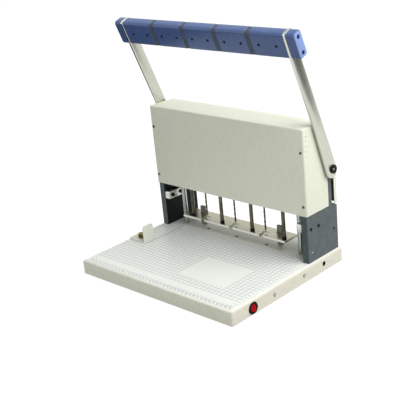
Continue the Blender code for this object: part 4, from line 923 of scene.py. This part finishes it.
@dataclass
class Housing:
    """Painted covers and side plates round the drill head, with its guide columns."""

    bench: Bench
    column_chamfer: float = 0.001
    cover_screw_places: tuple = ((0.200, 0.263), (0.200, 0.1536))
    cover_screw: Screw = Screw(0.0026, 0.0014, Shape.CROSS, 0.0015, 0.0009)
    cover_washer: Turning = Turning(washer(0.0022, 0.0039), 40)
    rear_screw_inset: float = 0.010
    plate_bolt_places: tuple = ((0.0768, 0.1039), (0.1017, 0.1035))
    plate_bolt: Screw = Screw(0.0035, 0.0012, Shape.HEX, 0.0017, 0.0009, 0.5)
    plate_pin_place: Pair = (0.1512, 0.0800)
    plate_pin: Screw = Screw(0.0023, 0.0008, Shape.HEX, 0.0011, 0.0006, 0.5)
    bright_screw_place: Pair = (0.0783, 0.0542)
    bright_screw: Screw = Screw(0.0017, 0.0003, Shape.ROUND, 0.0008, 0.0002)
    stop_bolt_depths: Pair = (0.0770, 0.1020)
    stop_bolt: Screw = Screw(0.0042, 0.0030, Shape.HEX, 0.0022, 0.0018, 0.15)
    weld_mark_places: tuple = ((0.0715, 0.2545), (0.0720, 0.2645), (0.0725, 0.2745), (0.0730, 0.2845),
                               (0.0735, 0.2940))
    weld_mark: Screw = Screw(0.0010, 0.00012, Shape.ROUND, 0.0004, 0.0001)

    def build(self) -> None:
        """Dress the housing and add its columns and fasteners."""
        for name in ("front_cover", "rear_cover"):
            self.bench.dress(name, COVER_CREAM)
        self.bench.dress("crown_beam", SATIN_STEEL, 0.0004)
        for side, way in SIDES:
            self.bench.dress(f"side_plate_{side}", PLATE_GREY if way > 0 else LEFT_PLATE, 0.0)
            self.bench.dress(f"stop_block_{side}", MILLED, 0.0002)
            self.bench.dress(f"rear_paper_stop_{side}", STOP_GREY)
            stand, radius, low, high = upright(f"guide_column_{side}")
            column = turned(bar(radius, low, high, self.column_chamfer), 64, stand)
            self.bench.place(f"column_{side}", column, GROUND_STEEL, "base", [f"guide_column_{side}"])
            self.plate_bolts(side, way)
        self.cover_screws()

    def plate_bolts(self, side: str, way: int) -> None:
        """Fit the bolts of a side plate, and those that hold the stop block inside it.

        Args:
            side: Left or right.
            way: -1 for the left, 1 for the right.
        """
        outer, inner = end_of(f"side_plate_{side}", way), end_of(f"stop_block_{side}", -way)
        low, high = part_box(f"stop_block_{side}")
        block_places = [(y, (low.z + high.z) / 2) for y in self.stop_bolt_depths]
        rows = [(self.plate_bolt, side_seats(outer, way, self.plate_bolt_places)),
                (self.plate_pin, side_seats(outer, way, [self.plate_pin_place])),
                (self.stop_bolt, side_seats(inner, -way, block_places))]
        self.bench.fasten(f"plate_bolts_{side}", rows, BLACK_OXIDE)
        bright = [(self.bright_screw, side_seats(outer, way, [self.bright_screw_place]))]
        self.bench.fasten(f"plate_set_screw_{side}", bright, SCREW_STEEL)

    def cover_screws(self) -> None:
        """Screws in the front and rear covers, washers in front, and the spot welds."""
        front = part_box("front_cover")[0].y
        seats = [facing((way * x, front, z), (0, -1, 0))
                 for x, z in self.cover_screw_places for _, way in SIDES]
        low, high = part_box("rear_cover")
        inset = self.rear_screw_inset
        behind = [facing((way * (high.x - inset), high.y, low.z + inset), Y_AXIS) for way in (-1, 0, 1)]
        self.bench.fasten("cover_screws", [(self.cover_screw, seats + behind)], BLACK_STEEL)
        self.bench.fasten("cover_washers", [(self.cover_washer, seats)], SCREW_STEEL)
        edge = end_of("front_cover", 1)
        welds = [seat for _, way in SIDES for seat in side_seats(way * edge, way, self.weld_mark_places)]
        self.bench.fasten("cover_spot_welds", [(self.weld_mark, welds)], PLATE_GREY)


@dataclass
class DrillHead:
    """Cross beam with spindles, twist drills, racks, belt and motor."""

    bench: Bench
    drill_x: tuple = (-0.095, -0.012, 0.071)
    drill_y: float = 0.097
    head_gap: float = 0.0003
    nose: Profile = ((0, 0.018), (0.0023, 0.018), (0.0023, 0), (0.0048, 0), (0.0052, 0.0005), (0.0109, 0.009),
                     (0.011, 0.0093))
    chuck_top: Profile = ((0.011, -0.008), (0.0104, -0.0076), (0.0104, -0.0064), (0.011, -0.006),
                          (0.011, -0.0006), (0.0104, 0), (0.008, 0))
    shoulder: Profile = ((0.008, 0), (0.0105, 0))
    pulley: Profile = ((0.0105, -0.014), (0.0128, -0.014), (0.014, -0.0128), (0.014, -0.0052), (0.0128, -0.004),
                       (0.006, -0.004), (0.006, -0.0005), (0.0055, 0), (0, 0))
    radius: float = 0.002
    lead: float = 0.022
    flute_length: float = 0.052
    flute_share: float = 0.54
    flute_form: float = 1.5
    runout: float = 0.004
    point_angle: float = math.radians(59)
    ring_points: int = 24
    flute_steps: int = 104

    def build(self) -> None:
        """Dress the head and turn its spindles and drills."""
        for name, finish, edge in (("drill_head", MILLED, 0.0), ("drill_motor", BLACK_STEEL, 0.0004),
                                   ("drive_belt", BELT, 0.0002), ("motor_pulley", MILLED, 0.0003),
                                   ("rack_left", SATIN_STEEL, 0.0002), ("rack_right", SATIN_STEEL, 0.0002)):
            self.bench.dress(name, finish, edge)
        for number, x in enumerate(self.drill_x, 1):
            stand = Matrix.Translation((x, self.drill_y, 0))
            self.spindle(number, stand)
            self.drill(number, stand)

    def spindle(self, number: int, stand: Matrix) -> None:
        """Turn a spindle, with its pulley above the head and its chuck below.

        Args:
            number: Which of the three.
            stand: The matrix of its axis.
        """
        low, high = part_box(f"spindle_{number}")
        head_low, head_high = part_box("drill_head")
        profile = [*raised(self.nose, low.z), *raised(self.chuck_top, head_low.z - self.head_gap),
                   *raised(self.shoulder, head_high.z + self.head_gap), *raised(self.pulley, high.z)]
        self.bench.place(f"chuck_spindle_{number}", turned(profile, 56, stand), BLACK_STEEL,
                         f"spindle_unit_{number}", [f"spindle_{number}"])

    def drill(self, number: int, stand: Matrix) -> None:
        """Make a twist drill with two helical flutes, lands and a ground point.

        Args:
            number: Which of the three.
            stand: The matrix of its axis.
        """
        low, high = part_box(f"drill_bit_{number}")
        point = self.radius / math.tan(self.point_angle)
        fluted = self.flute_length + self.runout - point
        bm = bmesh.new()
        rings = [[bm.verts.new((0, 0, low.z))]]
        for step in range(self.flute_steps + 1):
            height = fluted * step / self.flute_steps
            depth = min(1.0, max(0.0, (fluted - height) / self.runout))
            rings.append(self.drill_ring(bm, low.z + point + height, 2 * math.pi * height / self.lead, depth))
        rings += [self.drill_ring(bm, high.z, 0.0, 0.0), [bm.verts.new((0, 0, high.z))]]
        self.bench.place(f"twist_drill_{number}", skinned(bm, rings, stand), DRILL_STEEL,
                         f"spindle_unit_{number}", [f"drill_bit_{number}"])

    def drill_ring(self, bm: Mesh, height: float, turn: float, depth: float) -> list:
        """Add one ring of a twist drill.

        Args:
            bm: The drill's mesh.
            height: Where the ring is.
            turn: How far the flutes have turned there.
            depth: How deep they are, from 0 to 1.

        Returns:
            The ring's points.
        """
        ring = []
        for step in range(self.ring_points):
            angle = 2 * math.pi * step / self.ring_points
            flute = depth * max(0.0, math.cos(2 * angle)) ** self.flute_form
            reach = self.radius * (1 - self.flute_share * flute)
            ring.append(bm.verts.new((reach * math.cos(angle + turn), reach * math.sin(angle + turn), height)))
        return ring


@dataclass
class PressureFoot:
    """Slotted plate that holds the paper down, and its four rods."""

    bench: Bench
    rods: int = 4
    rod_radius: float = 0.004
    rod_chamfer: float = 0.0006
    nut: Turning = Turning(((0.004, 0), (0.00468, 0), (0.0052, 0.0004, Shape.HEX), (0.0052, 0.0042, Shape.HEX),
                            (0.004576, 0.0046), (0.0046, 0.0046), (0.0046, 0.0060), (0.0043, 0.0063),
                            (0.004, 0.0063), (0.004, 0)))

    def build(self) -> None:
        """Dress the plate and turn its rods, with a nut and locking collar at each foot."""
        self.bench.dress("pressure_plate", PRESS_STEEL, 0.0)
        seats = []
        for number in range(1, self.rods + 1):
            stand, _, low, high = upright(f"pressure_rod_{number}")
            rod = turned(bar(self.rod_radius, low, high, self.rod_chamfer), 48, stand)
            self.bench.place(f"press_rod_{number}", rod, ROD_STEEL, "press", [f"pressure_rod_{number}"])
            seats.append(stand @ Matrix.Translation((0, 0, low)))
        self.bench.fasten("press_rod_nuts", [(self.nut, seats)], BLACK_OXIDE, "press")


@dataclass
class Lever:
    """Two flat arms on the cross shaft, with the blue grip between them."""

    bench: Bench
    pivot: Point = (0.0, 0.1426, 0.2097)
    lean: float = math.radians(21.5)
    blocks: int = 5
    grip_middle: float = 0.2856
    grip_depth: float = 0.0235
    block_well_reach: float = 0.0205
    cap_well_reach: float = 0.016
    well_depth: float = 0.003
    well_screw: Screw = Screw(0.0021, 0.0012, Shape.HEX, 0.0012, 0.0008, 0.3, 0.0)
    cap_screw: Screw = Screw(0.0031, 0.0012, Shape.HEX, 0.0016, 0.0009, 0.3, 0.0)
    # Dark rings laid round the mouths of the wells: painted shade.
    well_rim: Turning = Turning(((0.0022, -0.0004), (0.0030, -0.0004), (0.0030, 0.00005), (0.0024, 0.00005),
                                 (0.0022, -0.0001), (0.0022, -0.0004)), 32)
    cap_collar: Turning = Turning(((0.0028, -0.0006), (0.0041, -0.0006), (0.0041, 0.00004), (0.0037, 0.00008),
                                   (0.0031, -0.0001), (0.0028, -0.0006)), 40)
    bolt_foot: Profile = ((0, 0), (0.0034, 0), (0.004, 0.0006))
    bolt_head: Profile = ((0.004, -0.0032), (0.009, -0.0032), (0.009, -0.0009), (0.0087, -0.0003), (0.008, 0),
                          (0.0037, 0), (0.0035, -0.0003), (0.0034, -0.0003, Shape.HEX),
                          (0.0034, -0.002, Shape.HEX), (0, -0.002))
    plug: Turning = Turning(((0, 0), (0.0020, 0), (0.0022, 0.0004), (0.0016, 0.0012), (0, 0.0014)), 32)
    plug_depth: float = 0.0021

    def build(self) -> None:
        """Dress the arms, gears and grip, and add bolts and screws."""
        for side, way in SIDES:
            self.bench.dress(f"lever_arm_{side}", ARM_STEEL, 0.0)
            self.bench.dress(f"sector_gear_{side}", BLACK_STEEL, 0.0002)
            self.bench.dress(f"grip_cap_{side}", CAP_BLUE)
            self.bolt(side, way)
        self.bench.dress("cross_shaft", PLATED_STEEL)
        self.bench.dress("grip_core", SATIN_STEEL)
        for number in range(1, self.blocks + 1):
            self.bench.dress(f"grip_block_{number}", GRIP_BLUE, 0.0)
        for number in range(1, self.blocks):
            self.bench.dress(f"grip_spacer_{number}", SPACER_GREY)
        self.grip_screws()

    def bolt(self, side: str, way: int) -> None:
        """Fit a low black pivot bolt with a bright plug in its socket.

        Args:
            side: Left or right.
            way: -1 for the left, 1 for the right.
        """
        node = f"pivot_bolt_{side}"
        inner, outer = end_of(node, -way), end_of(node, way)
        profile = [*self.bolt_foot, *raised(self.bolt_head, abs(outer - inner))]
        axis = [self.pivot[1:]]
        bolt = turned(profile, 48, side_seats(inner, way, axis)[0])
        self.bench.place(f"socket_bolt_{side}", bolt, BLACK_OXIDE, "lever", [node])
        socket = side_seats(outer - way * self.plug_depth, way, axis)
        self.bench.fasten(f"bolt_centre_{side}", [(self.plug, socket)], SCREW_STEEL, "lever")

    def seat(self, place: Point, direction: Point) -> Matrix:
        """Return the matrix of a seat that is given in the lever's own axes."""
        return Matrix.Translation(self.pivot) @ Matrix.Rotation(self.lean, 4, "X") @ facing(place, direction)

    def grip_screws(self) -> None:
        """Screws at the bottom of the wells in the blocks and caps, and dark rings round the wells' mouths as
        painted shade.
        """
        pitch = 2 * end_of("lever_arm_right", -1) / self.blocks
        middles = [(number - (self.blocks - 1) / 2) * pitch for number in range(self.blocks)]
        wells = [middle + way * self.block_well_reach for middle in middles for _, way in SIDES]
        floors, rims = ([self.seat((x, depth - self.grip_depth / 2, self.grip_middle), (0, -1, 0)) for x in wells]
                        for depth in (self.well_depth, 0))
        rows = [(self.well_screw, floors), (self.well_rim, rims)]
        self.bench.fasten("grip_screws", rows, BLACK_OXIDE, "lever")
        # The caps' plugs and rings are in the darker blue: painted shade in the wells.
        wells = [(end_of(f"grip_cap_{side}", way), self.grip_middle + end * self.cap_well_reach, way)
                 for side, way in SIDES for end in (-1, 1)]
        floors, rims = ([self.seat((x - way * depth, 0, height), (way, 0, 0)) for x, height, way in wells]
                        for depth in (self.well_depth, 0))
        rows = [(self.cap_screw, floors), (self.cap_collar, rims)]
        self.bench.fasten("grip_cap_plugs_and_shade_rings", rows, WELL_SHADE_BLUE, "lever")


@dataclass
class PaperStop:
    """Sliding side stop and its knurled brass screw."""

    bench: Bench
    head_height: float = 0.0105
    shank: float = 0.0027
    thread_floor: float = 0.002268
    shank_end: float = 0.00216
    turns: int = 14
    lead_in: float = 0.0006
    runout: float = 0.0004
    collar: Profile = ((0.0048, 0), (0.0048, 0.0008))
    dish: Profile = ((0.0030, 0), (0.0026, -0.0004), (0, -0.0004))

    def build(self) -> None:
        """Dress the stop and turn the screw."""
        self.bench.dress("side_stop", STOP_CREAM, 0.0004)
        stand, radius, low, high = upright("stop_screw")
        seat = high - self.head_height
        pitch = (seat - low - self.lead_in - self.runout) / self.turns
        profile = [(0, low), (self.shank_end, low)]
        for turn in range(self.turns):
            foot = low + self.lead_in + pitch * turn
            profile += [(self.thread_floor, foot), (self.shank, foot + pitch / 2)]
        profile += [(self.thread_floor, seat - self.runout), *raised(self.collar, seat),
                    (radius * 0.93, seat + 0.0008), (radius, seat + 0.0014, Shape.KNURL),
                    (radius, high - 0.0006, Shape.KNURL), (radius * 0.90, high), *raised(self.dish, high)]
        self.bench.place("knurled_screw", turned(profile, 72, stand), BRASS, "clamp_screw", ["stop_screw"])


@dataclass
class Electrics:
    """Round rocker switch in the side wall and power inlet in the back wall."""

    bench: Bench
    body_radius: float = 0.0098
    bore: float = 0.0083
    bore_floor: float = 0.002
    rocker_axis: Point = (0.2097, -0.112, 0.0175)
    rocker_face: float = 0.0020
    rocker_tilt: float = math.radians(-8)
    half_slope: float = math.atan2(0.0009, 0.0074)
    mark_reach: float = 0.0041
    mark_rise: float = 0.00008
    line_size: Pair = (0.0026, 0.0004)
    ring_radii: Pair = (0.0008, 0.0012)
    sleeve: Point = (0.0022, 0.0042, 0.0095)
    sleeve_depth: float = 0.0155
    sleeve_places: tuple = ((-0.007, 0.0), (0.0, 0.002), (0.007, 0.0))

    def build(self) -> None:
        """Dress the switch and inlet, and add markings and contact sleeves."""
        self.bezel()
        self.bench.dress("switch_rocker", RED_PLASTIC, 0.0004)
        self.bench.dress("power_inlet", BLACK_PLASTIC)
        self.marks()
        self.sleeves()

    def bezel(self) -> None:
        """Round switch body with a rolled rim."""
        low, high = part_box("switch_bezel")
        rim = (high.y - low.y) / 2
        front = [(self.body_radius, -0.0018), (rim, -0.0018), (rim, -0.0009), (rim - 0.0003, -0.0003),
                 (rim - 0.0010, 0), (self.bore + 0.0006, 0), (self.bore, -0.0005)]
        profile = [(0, 0), (self.body_radius, 0), *raised(front, high.x - low.x), (self.bore, self.bore_floor),
                   (0, self.bore_floor)]
        stand = facing((low.x, (low.y + high.y) / 2, (low.z + high.z) / 2), X_AXIS)
        self.bench.place("switch_body", turned(profile, 64, stand), BLACK_PLASTIC, "base", ["switch_bezel"])

    def marks(self) -> None:
        """The usual line and ring on the two halves of the rocker."""
        rocker = Matrix.Translation(self.rocker_axis) @ Matrix.Rotation(self.rocker_tilt, 4, "Y")
        upper, lower = (rocker @ Matrix.Translation((self.rocker_face, 0, way * self.mark_reach))
                        @ Matrix.Rotation(math.pi / 2 + way * self.half_slope, 4, "Y") for way in (1, -1))
        inner, outer = self.ring_radii
        profile = [(inner, 0), (outer, 0), (outer, self.mark_rise), (inner, self.mark_rise), (inner, 0)]
        both = joined([slab((*self.line_size, self.mark_rise), upper), turned(profile, 32, lower)])
        self.bench.place("rocker_marks", both, WHITE_INK, "rocker")

    def sleeves(self) -> None:
        """Bright sleeves over the three contact blades."""
        low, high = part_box("power_inlet")
        x, y, z = (low.x + high.x) / 2, high.y - self.sleeve_depth, (low.z + high.z) / 2
        parts = [slab(self.sleeve, facing((x + aside, y, z + up), Y_AXIS)) for aside, up in self.sleeve_places]
        self.bench.place("inlet_blades", joined(parts), SCREW_STEEL, "base")


# --------------------------------------------------------------------------- studio
@dataclass(frozen=True)
class Lamp:
    """A soft square lamp."""

    name: str
    place: Point
    aim: Point
    size: float
    power: float

    def build(self) -> None:
        """Hang the lamp and turn it to its aim."""
        data = bpy.data.lights.new(self.name, "AREA")
        data.shape = "SQUARE"
        data.size = self.size
        data.energy = self.power
        turn = (Vector(self.aim) - Vector(self.place)).to_track_quat("-Z", "Y").to_matrix().to_4x4()
        in_scene(self.name, data).matrix_world = Matrix.Translation(self.place) @ turn


@dataclass
class Studio:
    """White floor, plain soft light and the camera at the photograph's angle."""

    sky: float = 0.40
    floor_glow: float = 0.92
    floor_share: float = 0.22
    floor_tone: float = 0.45
    floor_side: float = 16.0
    camera_place: Point = (1.20878431, -1.20027940, 0.790362)
    camera_yaw: float = 0.786996134
    camera_pitch: float = 0.367160791
    camera_roll: float = -0.0962371957
    lens: float = 78.1477
    sensor: float = 36.0
    lamps: tuple = (Lamp("key lamp", (1.65, 0.32, 2.175), (0.0, 0.0, 0.15), 2.4, 78.0),
                    Lamp("front lamp", (-1.30, -2.00, 0.50), (0.0, 0.0, 0.15), 2.0, 9.0))
    cards: tuple = (("left_card", (-1.46, -0.20, 0.002), Z_AXIS, (1.76, 2.40)),
                    ("right_card", (0.74, 0.42, 0.50), (0.0, -1.0, 0.0), (0.60, 0.50)))

    def build(self) -> None:
        """Set up the world, the floor, the lamps, the dark cards and the camera."""
        self.world()
        self.sheet("floor", (self.floor_side, self.floor_side), Matrix(), self.floor_material())
        for lamp in self.lamps:
            lamp.build()
        for name, place, direction, size in self.cards:
            stand = Matrix.Translation(place) @ Vector(direction).to_track_quat("Z", "Y").to_matrix().to_4x4()
            card = self.sheet(name, size, stand, BLACK_PLASTIC.material())
            for ray in ("camera", "diffuse", "transmission", "shadow", "volume_scatter"):
                setattr(card, f"visible_{ray}", False)
        self.camera()
        bpy.context.scene.view_settings.view_transform = "Standard"

    @staticmethod
    def seen_ray(graph: Graph) -> Socket:
        """Find the rays that come straight or mirrored from the camera.

        Args:
            graph: The graph of the world or of a material.

        Returns:
            1 for these rays, 0 for others.
        """
        path = graph.add("LightPath").outputs
        mirrored = graph.maths("MAXIMUM", path["Is Glossy Ray"], path["Is Transmission Ray"])
        return graph.maths("MAXIMUM", path["Is Camera Ray"], mirrored)

    def world(self) -> None:
        """White to the eye and in reflections, dimmer as a light."""
        world = bpy.data.worlds.new("white studio")
        bpy.context.scene.world = world
        world.use_nodes = True
        graph = Graph(world.node_tree)
        background = world.node_tree.nodes["Background"].inputs
        background["Color"].default_value = (1.0, 1.0, 1.0, 1.0)
        graph.feed(background["Strength"], graph.spread(self.seen_ray(graph), (0.0, 1.0), (self.sky, 1.0)))

    def floor_material(self) -> bpy.types.Material:
        """Make a matt white that keeps the machine's shadow.

        Returns:
            The floor's material.
        """
        material = bpy.data.materials.new("white floor")
        material.use_nodes = True
        tree = material.node_tree
        tree.nodes.remove(tree.nodes["Principled BSDF"])
        graph = Graph(tree)
        matt, pale = (graph.add("BsdfDiffuse", {"Color": (tone, tone, tone, 1.0)}).outputs[0]
                      for tone in (self.floor_tone, self.floor_share))
        glow = graph.add("Emission", {"Color": (1.0, 1.0, 1.0, 1.0), "Strength": self.floor_glow}).outputs[0]
        seen = graph.add("AddShader", {0: pale, 1: glow}).outputs[0]
        mixed = graph.add("MixShader", {0: self.seen_ray(graph), 1: matt, 2: seen}).outputs[0]
        graph.feed(tree.nodes["Material Output"].inputs["Surface"], mixed)
        return material

    @staticmethod
    def sheet(name: str, size: Pair, stand: Matrix, material: bpy.types.Material) -> bpy.types.Object:
        """Set up a flat sheet that isn't part of the machine.

        Args:
            name: What the sheet is called.
            size: Its width and height.
            stand: The matrix from its own axes to the frame.
            material: What it is made of.

        Returns:
            The sheet.
        """
        bm = bmesh.new()
        bm.faces.new([bm.verts.new((x * size[0], y * size[1], 0)) for x, y in CORNERS])
        bm.transform(stand)
        sheet = in_scene(name, as_mesh(name, bm))
        sheet.data.materials.append(material)
        return sheet

    def camera(self) -> None:
        """Camera at the place and tilt measured from the photograph."""
        yaw, pitch, roll = self.camera_yaw, self.camera_pitch, self.camera_roll
        forward = Vector((-math.sin(yaw) * math.cos(pitch), math.cos(yaw) * math.cos(pitch), -math.sin(pitch)))
        level = Vector((math.cos(yaw), math.sin(yaw), 0))
        upright_axis = level.cross(forward)
        right = math.cos(roll) * level + math.sin(roll) * upright_axis
        up = math.cos(roll) * upright_axis - math.sin(roll) * level
        data = bpy.data.cameras.new("camera")
        data.lens = self.lens
        data.sensor_width = self.sensor
        camera = in_scene("camera", data)
        turn = Matrix((right, up, -forward)).transposed().to_4x4()
        camera.matrix_world = Matrix.Translation(self.camera_place) @ turn
        bpy.context.scene.camera = camera


def main() -> None:
    """Dress every sub-assembly and set up the studio."""
    logging.basicConfig(level=logging.INFO, format="%(message)s")
    bench = Bench(frame["nodes"])
    for assembly in (Base, Housing, DrillHead, PressureFoot, Lever, PaperStop, Electrics):
        LOG.info("building %s", assembly.__name__)
        assembly(bench).build()
    Studio().build()


if __name__ == "__main__":
    main()
